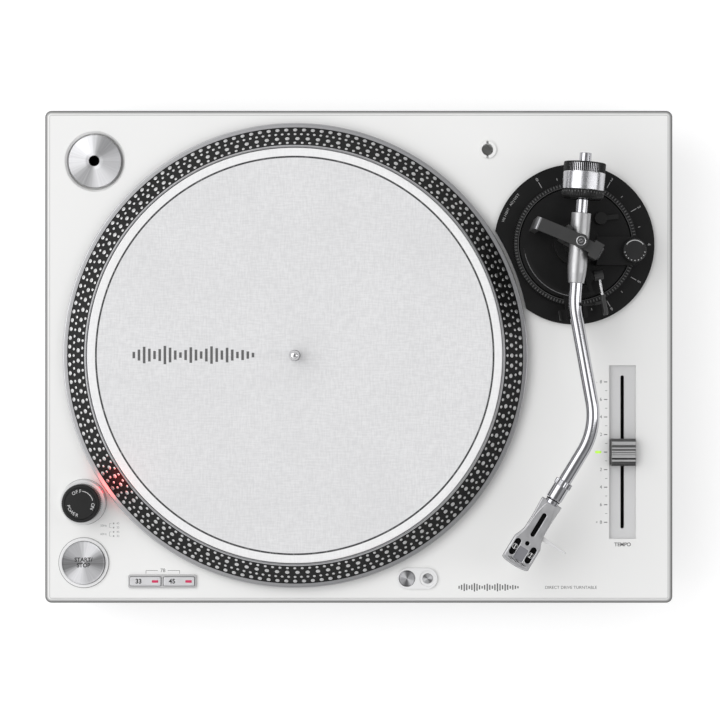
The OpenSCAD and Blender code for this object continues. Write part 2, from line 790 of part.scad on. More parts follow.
module gimbal_frame() {
    color("dimgray") at_arm(arm_z) difference() {
        union() {
            rotate([0, 0, bearing_dir]) {
                translate([-13, -6, -12]) cube([29, 12, 2.4]);
                translate([-13, -6, -12]) cube([4, 12, 22.4]);
                translate([9, -6, -12]) cube([7, 12, 22.4]);
                translate([-13, -4, 9]) cube([29, 8, 1.4]);
                rod_x(4.5, 16, 17.6);
            }
            translate([0, 0, -27]) cylinder(r = 4, h = 16);
            cylinder_from(1.2, 10, 12.4);
        }
        rotate([0, 0, bearing_dir]) rod_x(1.5 + run, -20, 14);
        rotate([0, 0, housing_dir]) translate([-30, -housing_r - 0.5, -9.5])
            cube([60, 2 * housing_r + 1, 18.4]);
    }
}

module arm_housing() {
    color("gray") along_housing() difference() {
        union() {
            rotate([0, 90, 0]) rotate_extrude() polygon([[0, housing_rear], [housing_r - 0.5, housing_rear],
                [housing_r, housing_rear + 0.5], [housing_r, -8], [6.6, 4], [housing_r, 18],
                [5.85, housing_front - 0.4], [5.5, housing_front], [0, housing_front]]);
            rod_x(stub_r, stub_end, 0);
            rotate([0, 0, bearing_dir - housing_dir]) rod_x(1.5, -12.6, 12.6);
        }
        rod_x(tube_r, tube_start, 40);
    }
}

module bend(r, angle) {
    s = sign(angle);
    translate([0, s * r, 0]) rotate([0, 0, s > 0 ? -90 : 90 + angle])
        rotate_extrude(angle = abs(angle)) translate([r, 0]) circle(tube_r);
}

module past_bend(r, angle) {
    s = sign(angle);
    translate([0, s * r, 0]) rotate([0, 0, angle]) translate([0, -s * r, 0]) children();
}

// A thin band that joins a straight length of tube to a bend
module tube_joint() {
    rod_x(tube_r + 0.03, -0.6, 0.6);
}

// A straight length of hollow tube that stops just short of its joints
module straight_tube(a, b) {
    difference() {
        rod_x(tube_r, a, b);
        rod_x(tube_r - tube_t, a == 0 ? -cut : 2, b - 2);
    }
}

module arm_tube() {
    color("gainsboro") along_housing() translate([tube_start, 0, 0]) {
        straight_tube(0, straight_1 - 0.2);
        translate([straight_1, 0, 0]) {
            tube_joint();
            bend(bend_1_r, bend_1);
            past_bend(bend_1_r, bend_1) {
                tube_joint();
                straight_tube(0.2, straight_2 - 0.2);
                translate([straight_2, 0, 0]) {
                    tube_joint();
                    bend(bend_2_r, bend_2);
                    past_bend(bend_2_r, bend_2) {
                        tube_joint();
                        difference() {
                            rod_x(tube_r, 0.2, straight_3 - 0.5);
                            rod_x(tube_r - tube_t, 2, straight_3 + cut);
                        }
                    }
                }
            }
        }
    }
}

module headshell_nut() {
    color("gainsboro") at_shell() difference() {
        union() {
            rod_x(5.75, -nut_l, -0.3);
            rod_x(6.2, -nut_l + 0.6, -nut_l + 4.2);
        }
        rod_x(tube_r + run, -20, 5);
        for (a = [0:15:345]) rotate([a, 0, 0]) translate([0, 0, 6.3]) rod_x(0.35, -nut_l, -nut_l + 5);
    }
}

function shell_outline() = concat(
    [[2.6, -7.7], [16, -7.1], [27, -7.3], [31, -8.5], [35, -10.2], [52, -10.5]],
    [for (a = [-80:16:80]) [52 + 1.9 * cos(a), 10.5 * sin(a) / sin(80)]],
    [[52, 10.5], [35, 10.2], [31, 8.5], [27, 7.3], [16, 7.1], [2.6, 7.7]]);

module headshell() {
    color("silver") at_shell() difference() {
        union() {
            translate([0, 0, 0.5]) linear_extrude(shell_t) polygon(shell_outline());
            for (s = [-1, 1]) translate([2.9, s * 5.9 - 0.6, -3]) cube([21.5, 1.2, 4]);
            translate([2.9, -6, -3]) cube([1.6, 12, 4]);
            rod_x(5.2, 0, 3.8);
            rod_x(tube_r - tube_t - run, -9, 1);
        }
        translate([20.7, 0, -cut]) pill(18.7, 3.2, 10);
        for (s = [-1, 1]) translate([cartridge_x, s * screw_spacing / 2, -cut]) pill(12.6, 4.2, 10);
        translate([35.7, 0, -cut]) cylinder(r = 1.6, h = 10);
        rod_x(2.6, -20, 3);
    }
}

module finger_lift() {
    color("gainsboro") at_shell() translate([0, 0, -0.9]) linear_extrude(1.4)
        polygon([[25.4, 5.5], [30, 5.5], [29.6, 8], [28.6, 26.6], [27.8, 27.8], [27, 26.6], [25.8, 8]]);
}

module cartridge() {
    color("black") at_shell() {
        translate([33.4, -8.4, -12.5]) cube([18.6, 16.8, 12.7]);
        translate([25.5, -6, -9]) cube([7.9, 12, 7.5]);
        for (s = [-1, 1]) translate([cartridge_x, s * screw_spacing / 2, 0]) {
            translate([0, 0, 0.2]) cylinder(r = 1.2, h = 2);
            difference() {
                translate([0, 0, 1.8]) cylinder(r = 1.75, h = 1.5);
                translate([-2, -0.3, 2.6]) cube([4, 0.6, 2]);
            }
        }
    }
}

module stylus() {
    color("dimgray") at_shell() {
        translate([stylus_x - 7.3, -5, -15]) cube([6.4, 10, 2.5]);
        translate([stylus_x - 4.8, 0, -15.2]) rotate([0, 107, 0]) cylinder(r = 0.4, h = 5);
        translate([stylus_x - 0.4, 0, -stylus_drop]) cylinder(r1 = 0.05, r2 = 0.3, h = 1.4);
    }
}

module weight_sleeve() {
    color("dimgray") along_housing() difference() {
        rod_x(sleeve_r, weight_back + 0.6, dial_front - 0.6);
        rod_x(stub_r + run, -80, 0);
    }
}

module counterweight() {
    color("silver") along_housing() difference() {
        union() {
            rod_x(weight_r, weight_back + 0.5, weight_front);
            rod_x(weight_r - 0.6, weight_back, weight_back + 1);
            rod_x(dial_bore_r, weight_front - 1, dial_front - 0.6);
        }
        rod_x(sleeve_r + run, -80, 0);
        for (a = [0:7.5:352.5]) rotate([a, 0, 0]) translate([0, 0, weight_r + 0.25])
            rod_x(0.6, weight_back - 1, weight_knurl);
        rotate([0, 90, 0]) translate([0, 0, weight_knurl]) ring(weight_r + 1, weight_r - 0.4, 0.5);
    }
}

module weight_dial() {
    color("black") along_housing() difference() {
        rotate([0, 90, 0]) rotate_extrude() polygon([[dial_bore_r + run, weight_front + gap],
            [weight_r, weight_front + gap], [weight_r, dial_front - 2.2], [weight_r - 1.6, dial_front],
            [dial_bore_r + run, dial_front]]);
        for (a = [0:15:345]) rotate([a, 0, 0]) translate([0, 0, weight_r + 0.3])
            rod_x(0.6, weight_front, dial_front + 1);
    }
}

// ---------------------------------------------------------------- arm deck controls

module cue_lever() {
    color("silver") at_arm(lever_z) at(lift_at) rotate([0, 0, 10]) {
        rod_x(1.5, 2.6, 8);
        rod_x(3.4, lift_r + gap, 12);
        translate([9, 0, 0]) rotate([90, 0, 0]) {
            cylinder(r = 1.3, h = 15);
            translate([0, 0, 14]) cylinder(r1 = 1.7, r2 = 2.1, h = 13);
            translate([0, 0, 27]) cylinder(r1 = 2.1, r2 = 1.2, h = 1.5);
        }
    }
}

module lift_platform() {
    rail_dir = atan2(lift_at[1], lift_at[0]);
    color("silver") at_arm() {
        at(lift_at) cylinder_from(2, arm_deck_z + 1, rail_top_z - 2.6);
        rotate([0, 0, rail_dir]) translate([norm(lift_at), -1.5, rail_top_z - 4.4])
            cube([rail_r - norm(lift_at), 3, 2]);
        rotate([0, 0, 186]) translate([0, 0, rail_top_z - 2.6])
            rotate_extrude(angle = 360 + rail_dir - 186 + 3) translate([rail_r - 1.3, 0]) square([2.6, 2.6]);
    }
}

module anti_skate_knob() {
    color("dimgray") at_arm() at(anti_at) {
        cylinder_from(3, bracket_z - 5, bracket_z + 1);
        difference() {
            translate([0, 0, bracket_z + gap]) rotate_extrude() polygon([[0, 0], [anti_r, 0],
                [anti_r, 6.4], [anti_r - 0.7, 7], [anti_r - 2, 7], [anti_r - 2.6, 7.6], [0, 7.6]]);
            for (a = [0:15:345]) rotate(a) translate([anti_r + 0.35, 0, bracket_z]) cylinder(r = 0.6, h = 6);
        }
    }
}

top_cabinet();
bottom_case();
case_screws();
main_board();
power_board();
motor_stator();
spindle_bearing();
rear_panel();
rca_jacks();
usb_port();
power_inlet();
tempo_panel();
tempo_pot();
button_bezels();
speed_bezel();
lamp_bezel();
headshell_stand();
arm_base();
ground_nut();
line_switch();
foot_stud(0);  // foot_stud_1
foot_stud(1);  // foot_stud_2
foot_stud(2);  // foot_stud_3
foot_stud(3);  // foot_stud_4
foot(0);  // foot_1
foot(1);  // foot_2
foot(2);  // foot_3
foot(3);  // foot_4
platter();
rotor_magnet();
spindle();
slipmat();
ep_adapter();
power_knob();
start_stop_button();
speed_button(-1);  // speed_button_33
speed_button(1);  // speed_button_45
target_lamp();
lamp_button();
tempo_knob();
height_ring();
arm_deck();
gimbal_yoke();
arm_rest();
height_lock_lever();
gimbal_frame();
arm_housing();
arm_tube();
headshell_nut();
headshell();
finger_lift();
cartridge();
stylus();
weight_sleeve();
counterweight();
weight_dial();
cue_lever();
lift_platform();
arm_clamp();
anti_skate_knob();
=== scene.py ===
import json
import math

import bmesh
import bpy
from mathutils import Matrix, Vector


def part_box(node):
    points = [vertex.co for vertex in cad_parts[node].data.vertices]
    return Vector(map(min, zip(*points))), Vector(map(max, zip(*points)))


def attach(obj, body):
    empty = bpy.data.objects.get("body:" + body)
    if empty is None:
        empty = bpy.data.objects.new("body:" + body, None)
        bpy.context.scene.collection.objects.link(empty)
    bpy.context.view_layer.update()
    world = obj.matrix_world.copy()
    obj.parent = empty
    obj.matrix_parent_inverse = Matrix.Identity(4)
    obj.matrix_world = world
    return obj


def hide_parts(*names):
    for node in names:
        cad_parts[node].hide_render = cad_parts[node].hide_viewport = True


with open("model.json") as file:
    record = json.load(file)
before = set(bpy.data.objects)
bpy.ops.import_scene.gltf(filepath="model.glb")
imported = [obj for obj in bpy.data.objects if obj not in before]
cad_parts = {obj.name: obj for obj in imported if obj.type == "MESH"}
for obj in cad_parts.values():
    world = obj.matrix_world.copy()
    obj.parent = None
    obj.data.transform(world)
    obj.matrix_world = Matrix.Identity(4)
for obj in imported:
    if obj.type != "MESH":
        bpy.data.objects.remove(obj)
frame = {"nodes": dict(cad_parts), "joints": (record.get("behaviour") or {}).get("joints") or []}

MM = 0.001
TAU = 2 * math.pi
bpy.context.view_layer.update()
JOINTS = {j["name"]: j for j in frame["joints"]}


# ------------------------------------------------------------ places, all from the frame
#
# Shapes and places are in millimetres. Materials, lights and finished meshes are in metres.

def pivot(joint):
    return Vector(JOINTS[joint]["pos_m"]) / MM


def direction(joint):
    return Vector(JOINTS[joint]["axis"]).normalized()


def box(node):
    return [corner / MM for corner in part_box(node)]


def centre(node):
    low, high = box(node)
    return (low + high) / 2


def radius_of(node):
    low, high = box(node)
    return (high.x - low.x) / 2


def top_of(node):
    return box(node)[1].z


def frame_at(origin, forward, up=(0, 0, 1)):
    """A matrix whose X is forward and whose Z is close to up."""
    x = Vector(forward).normalized()
    y = Vector(up).cross(x).normalized()
    z = x.cross(y)
    m = Matrix((x, y, z)).transposed().to_4x4()
    m.translation = Vector(origin)
    return m


DECK_Z = top_of("top_cabinet")
PLATTER = pivot("platter_spin")
ARM = pivot("arm_swing")
ARM_Z = pivot("arm_tilt").z
FORWARD = -direction("weight_travel")
HOUSING = frame_at((ARM.x, ARM.y, ARM_Z), FORWARD)
SHELL = frame_at(pivot("headshell_nut_turn"), direction("headshell_pull"))


# ------------------------------------------------------------ node helpers

class Nodes:
    """A material's node tree, with short calls that return sockets."""

    def __init__(self, name):
        self.material = bpy.data.materials.new(name)
        self.material.use_nodes = True
        self.tree = self.material.node_tree
        self.shader = self.tree.nodes["Principled BSDF"]
        self.place = self.add("ShaderNodeTexCoord").outputs["Object"]

    def add(self, kind, **settings):
        node = self.tree.nodes.new(kind)
        for key, value in settings.items():
            setattr(node, key, value)
        return node

    def link(self, out, into):
        self.tree.links.new(out, into)

    def feed(self, socket, value):
        if isinstance(value, bpy.types.NodeSocket):
            self.link(value, socket)
        else:
            socket.default_value = value

    def math(self, operation, a, b=0.0):
        node = self.add("ShaderNodeMath", operation=operation)
        for socket, value in zip(node.inputs, (a, b)):
            self.feed(socket, value)
        return node.outputs[0]

    def plus(self, a, b):
        return self.math("ADD", a, b)

    def minus(self, a, b):
        return self.math("SUBTRACT", a, b)

    def times(self, a, b):
        return self.math("MULTIPLY", a, b)

    def noise(self, scale, detail=3.0, place=None):
        node = self.add("ShaderNodeTexNoise")
        self.link(place or self.place, node.inputs["Vector"])
        return self.filled(node, Scale=scale, Detail=detail, Roughness=0.55).outputs["Fac"]

    def noise_along(self, value, scale, detail):
        """Noise that changes along one number only."""
        node = self.add("ShaderNodeTexNoise", noise_dimensions="1D")
        return self.filled(node, W=value, Scale=scale, Detail=detail).outputs["Fac"]

    def spread(self, value, low, high, from_low=0.3, from_high=0.7):
        node = self.add("ShaderNodeMapRange")
        self.link(value, node.inputs["Value"])
        return self.filled(node, From_Min=from_low, From_Max=from_high, To_Min=low, To_Max=high).outputs["Result"]

    def mix(self, share, a, b):
        node = self.add("ShaderNodeMix", data_type="RGBA")
        self.feed(node.inputs[0], share)
        for place, colour in ((6, a), (7, b)):
            self.feed(node.inputs[place], colour if isinstance(colour, bpy.types.NodeSocket) else rgba(colour))
        return node.outputs[2]

    def mottled(self, cloud, colour, spread):
        """The colour, a little darker and a little paler in clouds."""
        return self.mix(self.spread(cloud, 0, 1), shade(colour, 1 - spread), shade(colour, 1 + spread))

    def moved(self, origin, scale=(1, 1, 1), rotation=(0, 0, 0)):
        """Object coordinates measured from origin, which is in millimetres, then turned and scaled."""
        shift = self.add("ShaderNodeVectorMath", operation="SUBTRACT")
        self.link(self.place, shift.inputs[0])
        shift.inputs[1].default_value = Vector(origin) * MM
        turn = self.add("ShaderNodeMapping")
        self.link(shift.outputs[0], turn.inputs["Vector"])
        return self.filled(turn, Rotation=rotation, Scale=scale).outputs["Vector"]

    def axes(self, vector):
        node = self.add("ShaderNodeSeparateXYZ")
        self.link(vector, node.inputs[0])
        return node.outputs

    def radius(self, origin):
        x, y = self.axes(self.moved(origin))[:2]
        return self.math("SQRT", self.plus(self.times(x, x), self.times(y, y)))

    def band(self, value, low, high, soft):
        """1 between low and high, 0 outside, with an edge soft wide."""
        rise = self.spread(value, 0, 1, low - soft, low + soft)
        fall = self.spread(value, 1, 0, high - soft, high + soft)
        return self.times(rise, fall)

    def bump(self, height, strength, distance, normal=None):
        node = self.add("ShaderNodeBump")
        if normal:
            self.link(normal, node.inputs["Normal"])
        return self.filled(node, Strength=strength, Distance=distance, Height=height).outputs["Normal"]

    def rounded(self, radius):
        return self.filled(self.add("ShaderNodeBevel", samples=4), Radius=radius).outputs["Normal"]

    def filled(self, node, **inputs):
        """The node, with each named input set to a value or linked to a socket."""
        for key, value in inputs.items():
            self.feed(node.inputs[key.replace("_", " ")], value)
        return node

    def wire(self, **inputs):
        self.filled(self.shader, **inputs)
        return self.material


def rgb(colour):
    """A colour, where a single number stands for a grey."""
    return colour if isinstance(colour, tuple) else (colour,) * 3


def rgba(colour):
    return (*rgb(colour)[:3], 1.0)


def shade(colour, factor):
    return tuple(min(1.0, c * factor) for c in rgb(colour)[:3])


# ------------------------------------------------------------ materials

def moulded(name, colour, rough=0.45, grain=0.00004, grain_scale=2600, spread=0.05, coat=0.0, edge=0.0003,
            specular=0.5):
    """Moulded or painted plastic: fine texture, faint mottling and uneven gloss."""
    n = Nodes(name)
    mottle = n.noise(28, 4)
    fine = n.noise(grain_scale, 2)
    return n.wire(
        Coat_Weight=coat, Coat_Roughness=0.12, Specular_IOR_Level=specular,
        Base_Color=n.mottled(mottle, colour, spread),
        Roughness=n.spread(n.noise(90, 4), rough - 0.05, rough + 0.06),
        Normal=n.bump(fine, 0.35, grain, n.rounded(edge)))


def cast_metal(name, colour, rough=0.32, spread=0.06, grain=0.00002, edge=0.00025, metallic=1.0):
    """Satin die-cast or blasted metal."""
    n = Nodes(name)
    cloud = n.noise(45, 5)
    fine = n.noise(3800, 2)
    return n.wire(
        Metallic=metallic,
        Base_Color=n.mottled(cloud, colour, spread),
        Roughness=n.spread(n.noise(140, 4), rough - 0.05, rough + 0.07),
        Normal=n.bump(fine, 0.4, grain, n.rounded(edge)))


def polished(name, colour, rough=0.07, spread=0.03):
    """Chromed or polished metal with faint wiping marks."""
    n = Nodes(name)
    haze = n.noise(60, 5)
    scratch = n.noise(900, 3, n.moved((0, 0, 0), (1, 0.06, 0.4), (0, 0, 0.3)))
    return n.wire(
        Metallic=1.0,
        Base_Color=n.mottled(haze, colour, spread),
        Roughness=n.spread(haze, rough * 0.7, rough * 1.5),
        Normal=n.bump(scratch, 0.12, 0.000008))


def spun(name, origin, colour=(0.78, 0.78, 0.79), rough=0.26, anisotropy=0.75, pitch=0.00022, depth=0.000002,
         painted_sheen=0.0, sheen_turn=0.0, metallic=1.0):
    """Metal turned on a lathe about a vertical axis through origin. The two arguments after depth set the
    strength and the turn of bright and dark sectors painted into the base colour: a painted highlight and
    painted shade standing in for the reflections that turning marks gather from the lights."""
    n = Nodes(name)
    tangent = n.add("ShaderNodeTangent", direction_type="RADIAL", axis="Z")
    lines = n.noise_along(n.math("DIVIDE", n.radius(origin), pitch * 4), 1.0, 4)
    base = n.mix(n.spread(lines, 0, 1), shade(colour, 0.95), shade(colour, 1.04))
    if painted_sheen:
        # bright and dark sectors painted into the base colour: painted highlight and painted shade of the turning
        # marks
        x, y = n.axes(n.moved(origin))[:2]
        around = n.math("ARCTAN2", y, x)
        twice = n.math("SINE", n.plus(n.times(around, 2.0), sheen_turn))
        four = n.math("SINE", n.plus(n.times(around, 4.0), sheen_turn * 2))
        broad = n.spread(n.plus(twice, n.times(four, 0.55)), 0, 1, -1.1, 1.1)
        sheen_share = n.plus(n.times(broad, 0.8), n.times(n.noise_along(around, 9.0, 5), 0.3))
        base = n.mix(sheen_share, shade(colour, 1 - painted_sheen), shade(colour, 1 + painted_sheen * 0.8))
    return n.wire(
        Metallic=metallic, Anisotropic=anisotropy, Base_Color=base,
        Roughness=n.spread(lines, rough - 0.03, rough + 0.04),
        Tangent=tangent.outputs[0],
        Normal=n.bump(lines, 0.4, depth, n.rounded(0.0002)))


def ink(name, colour, rough=0.5):
    """Screen-printed ink, a little uneven."""
    n = Nodes(name)
    return n.wire(
        Base_Color=n.mix(n.noise(2200, 3), shade(colour, 0.9), shade(colour, 1.12)),
        Roughness=n.spread(n.noise(700, 2), rough - 0.06, rough + 0.06))


def glowing(name, colour, strength, rim, origin, reach):
    """A small diffused lens: bright in the middle, darker towards its rim."""
    n = Nodes(name)
    fade = n.spread(n.radius(origin), 1.0, 0.25, reach * 0.2, reach)
    return n.wire(
        Emission_Color=rgba(colour), Roughness=0.3,
        Base_Color=n.mix(n.noise(800, 2), shade(rim, 0.9), shade(rim, 1.1)),
        Emission_Strength=n.times(fade, strength))


def cabinet_paint():
    """White satin finish of the deck and sides, with painted shade greying the bevel and a painted shade line inside
    it.
    """
    n = Nodes("cabinet_white")
    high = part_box("top_cabinet")[1]
    corner = 4.7 * MM
    x, y = n.axes(n.place)[:2]
    across = n.minus(n.math("ABSOLUTE", x), high.x - corner)
    deep = n.minus(n.math("ABSOLUTE", y), high.y - corner)
    past = [n.math("POWER", n.math("MAXIMUM", side, 0.0), 2.0) for side in (across, deep)]
    outside = n.math("SQRT", n.plus(*past))
    within = n.math("MINIMUM", n.math("MAXIMUM", across, deep), 0.0)
    inward = n.minus(n.minus(corner, outside), within)
    # painted shade: the bevel greys towards the cabinet's outer edge, with a grey line at its inner edge, on
    # upward-facing surfaces only
    rim = n.spread(inward, 1, 0, 0.9 * MM, 2.8 * MM)
    line = n.times(n.band(inward, 3.2 * MM, 3.7 * MM, 0.25 * MM), 0.45)
    facing = n.add("ShaderNodeNewGeometry").outputs["Normal"]
    upward = n.spread(n.axes(facing)[2], 0, 1, 0.2, 0.4)
    painted_edge_shade = n.times(n.math("MAXIMUM", n.times(rim, 0.88), line), upward)
    cloud = n.noise(5, 4)
    peel = n.noise(1500, 3)
    return n.wire(
        Coat_Weight=0.15, Coat_Roughness=0.25, Specular_IOR_Level=0.4,
        Base_Color=n.mix(painted_edge_shade, n.mix(n.spread(cloud, 0, 1), (0.80, 0.80, 0.79), (0.83, 0.83, 0.82)),
                         0.10),
        Roughness=n.spread(n.noise(70, 4), 0.42, 0.52),
        Normal=n.bump(peel, 0.25, 0.00002, n.rounded(0.0006)))


def felt(name, origin, ring_r, ring_w):
    """The slipmat: pressed pale fibres with a printed ring."""
    n = Nodes(name)
    long_x = n.noise(900, 4, n.moved(origin, (0.16, 1, 1), (0, 0, 0.1)))
    long_y = n.noise(900, 4, n.moved(origin, (1, 0.16, 1), (0, 0, -0.2)))
    fibres = n.times(n.plus(long_x, long_y), 0.5)
    cloud = n.noise(16, 6)
    pale = n.mix(n.spread(fibres, 0, 1, 0.4, 0.6), (0.66, 0.66, 0.665), (0.76, 0.76, 0.765))
    pale = n.mix(n.spread(cloud, 0, 0.3), pale, (0.60, 0.60, 0.605))
    rim = n.spread(n.radius(origin), 0, 1, ring_r, ring_r + 0.0002)
    pale = n.mix(rim, pale, n.mix(n.spread(fibres, 0, 1, 0.4, 0.6), 0.78, 0.84))
    printed = n.band(n.radius(origin), ring_r - ring_w / 2, ring_r + ring_w / 2, 0.0001)
    printed = n.times(printed, n.spread(fibres, 0.75, 1.0, 0.35, 0.5))
    return n.wire(
        Sheen_Weight=0.25, Sheen_Roughness=0.5, Specular_IOR_Level=0.2,
        Base_Color=n.mix(printed, pale, (0.05, 0.05, 0.052)),
        Roughness=n.spread(fibres, 0.85, 0.95),
        Normal=n.bump(fibres, 0.6, 0.00008))


# ------------------------------------------------------------ mesh helpers, in millimetres

def mesh_of(bm):
    mesh = bpy.data.meshes.new("mesh")
    bm.to_mesh(mesh)
    bm.free()
    return mesh


def joined(meshes):
    bm = bmesh.new()
    for mesh in meshes:
        bm.from_mesh(mesh)
    return mesh_of(bm)


def add_piece(name, mesh, body, materials, node=None, smooth=32, weighted=True):
    """A finished piece on the body it rides on. mesh may be a list, and node is the CAD node that the piece
    stands for."""
    if isinstance(mesh, list):
        mesh = joined(mesh)
    mesh.name = name
    for m in materials if isinstance(materials, list) else [materials]:
        mesh.materials.append(m)
    mesh.polygons.foreach_set("use_smooth", [True] * len(mesh.polygons))
    mesh.set_sharp_from_angle(angle=math.radians(smooth))
    mesh.update()
    piece = bpy.data.objects.new(name, mesh)
    bpy.context.scene.collection.objects.link(piece)
    if weighted:
        piece.modifiers.new("normals", "WEIGHTED_NORMAL").keep_sharp = True
    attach(piece, body)
    if node:
        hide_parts(node)
    return piece


def add_print(name, mesh, body, material):
    """A thin printed layer, or a flat shadow line."""
    return add_piece(name, mesh, body, material, weighted=False)


def set_material(material, *nodes, slot=None):
    """Gives CAD nodes a finished material."""
    for name in nodes:
        node = frame["nodes"][name]
        node.data.materials.clear()
        node.data.materials.append(material)


def mesh_from(bm, scale=MM):
    """The finished mesh, in metres."""
    bmesh.ops.scale(bm, vec=(scale, scale, scale), verts=bm.verts)
    bmesh.ops.remove_doubles(bm, verts=bm.verts, dist=1e-7)
    bmesh.ops.recalc_face_normals(bm, faces=bm.faces)
    return mesh_of(bm)


def mesh_of_curve(curve, where):
    """The mesh of a curve drawn in metres, put on where, which is in millimetres."""
    holder = bpy.data.objects.new("curve", curve)
    bpy.context.scene.collection.objects.link(holder)
    bpy.context.view_layer.update()
    mesh = bpy.data.meshes.new_from_object(holder.evaluated_get(bpy.context.evaluated_depsgraph_get()))
    bpy.data.objects.remove(holder)
    bpy.data.curves.remove(curve)
    place = where.copy()
    place.translation *= MM
    mesh.transform(place)
    return mesh


def shifted(where, x, y, z=0.0):
    return where @ Matrix.Translation((x, y, z))


def turned(where, angle, axis="Z"):
    return where @ Matrix.Rotation(angle, 4, axis)


def upright(origin, z=0.0):
    return Matrix.Translation((origin[0], origin[1], z))


def along(where):
    """The frame where, turned so that its Z runs along its old X."""
    return turned(where, math.pi / 2, "Y")


def ray(angle, reach=1.0):
    return reach * math.cos(angle), reach * math.sin(angle)


def rounded_corners(corners, steps=4, radius=0, closed=True):
    """The outline with each corner turned into an arc. A corner is x, y and its radius, where that isn't
    the common one. A radius of 0 keeps a corner sharp."""
    done = []
    count = len(corners)
    for i, corner in enumerate(corners):
        p, own = Vector(corner[:2]), corner[2] if len(corner) > 2 else radius
        if own <= 0 or (not closed and i in (0, count - 1)):
            done.append(p)
            continue
        a, b = Vector(corners[i - 1][:2]) - p, Vector(corners[(i + 1) % count][:2]) - p
        half = a.angle(b) / 2
        if half > math.pi / 2 - 0.02:
            done.append(p)
            continue
        reach = min(own / math.tan(half), a.length * 0.49, b.length * 0.49)
        middle = p + (a.normalized() + b.normalized()).normalized() * reach / math.cos(half)
        start, stop = p + a.normalized() * reach - middle, p + b.normalized() * reach - middle
        turn = start.angle_signed(stop)
        for k in range(steps + 1):
            c, s = ray(-turn * k / steps)
            done.append(middle + Vector((start.x * c - start.y * s, start.x * s + start.y * c)))
    return done


def moved_outline(outline, dx, dy):
    return [(x + dx, y + dy) for x, y in outline]


def mirrored(half):
    """A closed outline from its points on the +Y side."""
    return [(x, -y, *rest) for x, y, *rest in half] + half[::-1]


def pill_outline(length, width, steps=16):
    """Points round a slot with full round ends, its longer side along X."""
    half = (length - width) / 2
    points = []
    for side, start in ((1, -math.pi / 2), (-1, math.pi / 2)):
        for k in range(steps + 1):
            x, y = ray(start + math.pi * k / steps, width / 2)
            points.append((side * half + x, y))
    return points


def rectangle(width, depth, radius, steps=5):
    w, d = width / 2, depth / 2
    return rounded_corners([(-w, -d), (w, -d), (w, d), (-w, d)], steps, radius)


def circle_outline(radius, steps=48):
    return [ray(TAU * k / steps, radius) for k in range(steps)]


def lathe(profile, where, steps=128, slots=None, knurl=None):
    """A solid of revolution. profile is (radius, height) points, turned about the Z axis of where. slots
    gives the material of each stretch of the profile. knurl is the number of teeth round the edge, the
    depth of the gaps between them, and the two heights that they lie between."""
    teeth, depth, low, high = knurl or (0, 0, 0, 0)
    if knurl:
        steps = teeth * 4
    bm = bmesh.new()
    rings = []
    for r, h in profile:
        if r < 1e-4:
            rings.append([bm.verts.new(where @ Vector((0, 0, h)))] * steps)
            continue
        dips = knurl and low <= h <= high and r > 2 * depth
        rings.append([bm.verts.new(where @ Vector((*ray(TAU * k / steps, r - depth if dips and k % 4 > 1 else r), h)))
                      for k in range(steps)])
    for i, low_ring in enumerate(rings):
        high_ring = rings[(i + 1) % len(rings)]
        for k in range(steps):
            j = (k + 1) % steps
            corners = []
            for v in (low_ring[k], low_ring[j], high_ring[j], high_ring[k]):
                if v not in corners:
                    corners.append(v)
            if len(corners) > 2:
                face = bm.faces.new(corners)
                if slots:
                    face.material_index = slots[i]
    return mesh_from(bm)


def rod(radius, low, high, where, steps=48):
    return lathe([(0, low), (radius, low), (radius, high), (0, high)], where, steps)


def slab(outlines, where, low, high, edge=0.2, resolution=2):
    """A plate with holes: the first outline is the outside, and the rest are holes. Its edges are rounded."""
    curve = bpy.data.curves.new("plate", "CURVE")
    curve.dimensions = "2D"
    curve.fill_mode = "BOTH"
    for outline in outlines:
        spline = curve.splines.new("POLY")
        spline.points.add(len(outline) - 1)
        for point, (x, y) in zip(spline.points, outline):
            point.co = (x * MM, y * MM, 0, 1)
        spline.use_cyclic_u = True
    curve.extrude = ((high - low) / 2 - edge) * MM
    curve.bevel_depth = edge * MM
    curve.bevel_resolution = resolution
    curve.offset = -edge * MM
    mesh = mesh_of_curve(curve, shifted(where, 0, 0, (low + high) / 2))
    bm = bmesh.new()
    bm.from_mesh(mesh)
    bpy.data.meshes.remove(mesh)
    return mesh_from(bm, 1)


PRINT_THICK = 0.02


def lettering(text, size, where, bold=0.0):
    """Raised print. where is the frame whose XY plane it lies on; size is the capitals' height, and bold
    thickens the strokes by that share of it."""
    curve = bpy.data.curves.new("text", "FONT")
    curve.body = text
    curve.size = size / 0.7 * MM
    curve.align_x = curve.align_y = "CENTER"
    curve.extrude = PRINT_THICK / 2 * MM
    curve.offset = bold * size / 2 * MM
    return mesh_of_curve(curve, shifted(where, 0, 0, PRINT_THICK / 2))


def joined_rows(rows, caps=True):
    """A tube of faces through rows of points, closed at both ends where caps is set."""
    bm = bmesh.new()
    rows = [[bm.verts.new(p) for p in row] for row in rows]
    for low, high in zip(rows, rows[1:]):
        for i in range(len(low)):
            j = (i + 1) % len(low)
            bm.faces.new((low[i], low[j], high[j], high[i]))
    if caps:
        bm.faces.new(rows[0][::-1])
        bm.faces.new(rows[-1])
    return mesh_from(bm)


def dash(x0, y0, x1, y1, width, where):
    """A printed line from one point to another in the XY plane of where."""
    a, b = Vector((x0, y0, 0)), Vector((x1, y1, 0))
    run = b - a
    side = Vector((-run.y, run.x, 0)).normalized() * width / 2
    return joined_rows([[where @ (p + Vector((0, 0, z))) for p in (a - side, b - side, b + side, a + side)]
                        for z in (0, PRINT_THICK)])


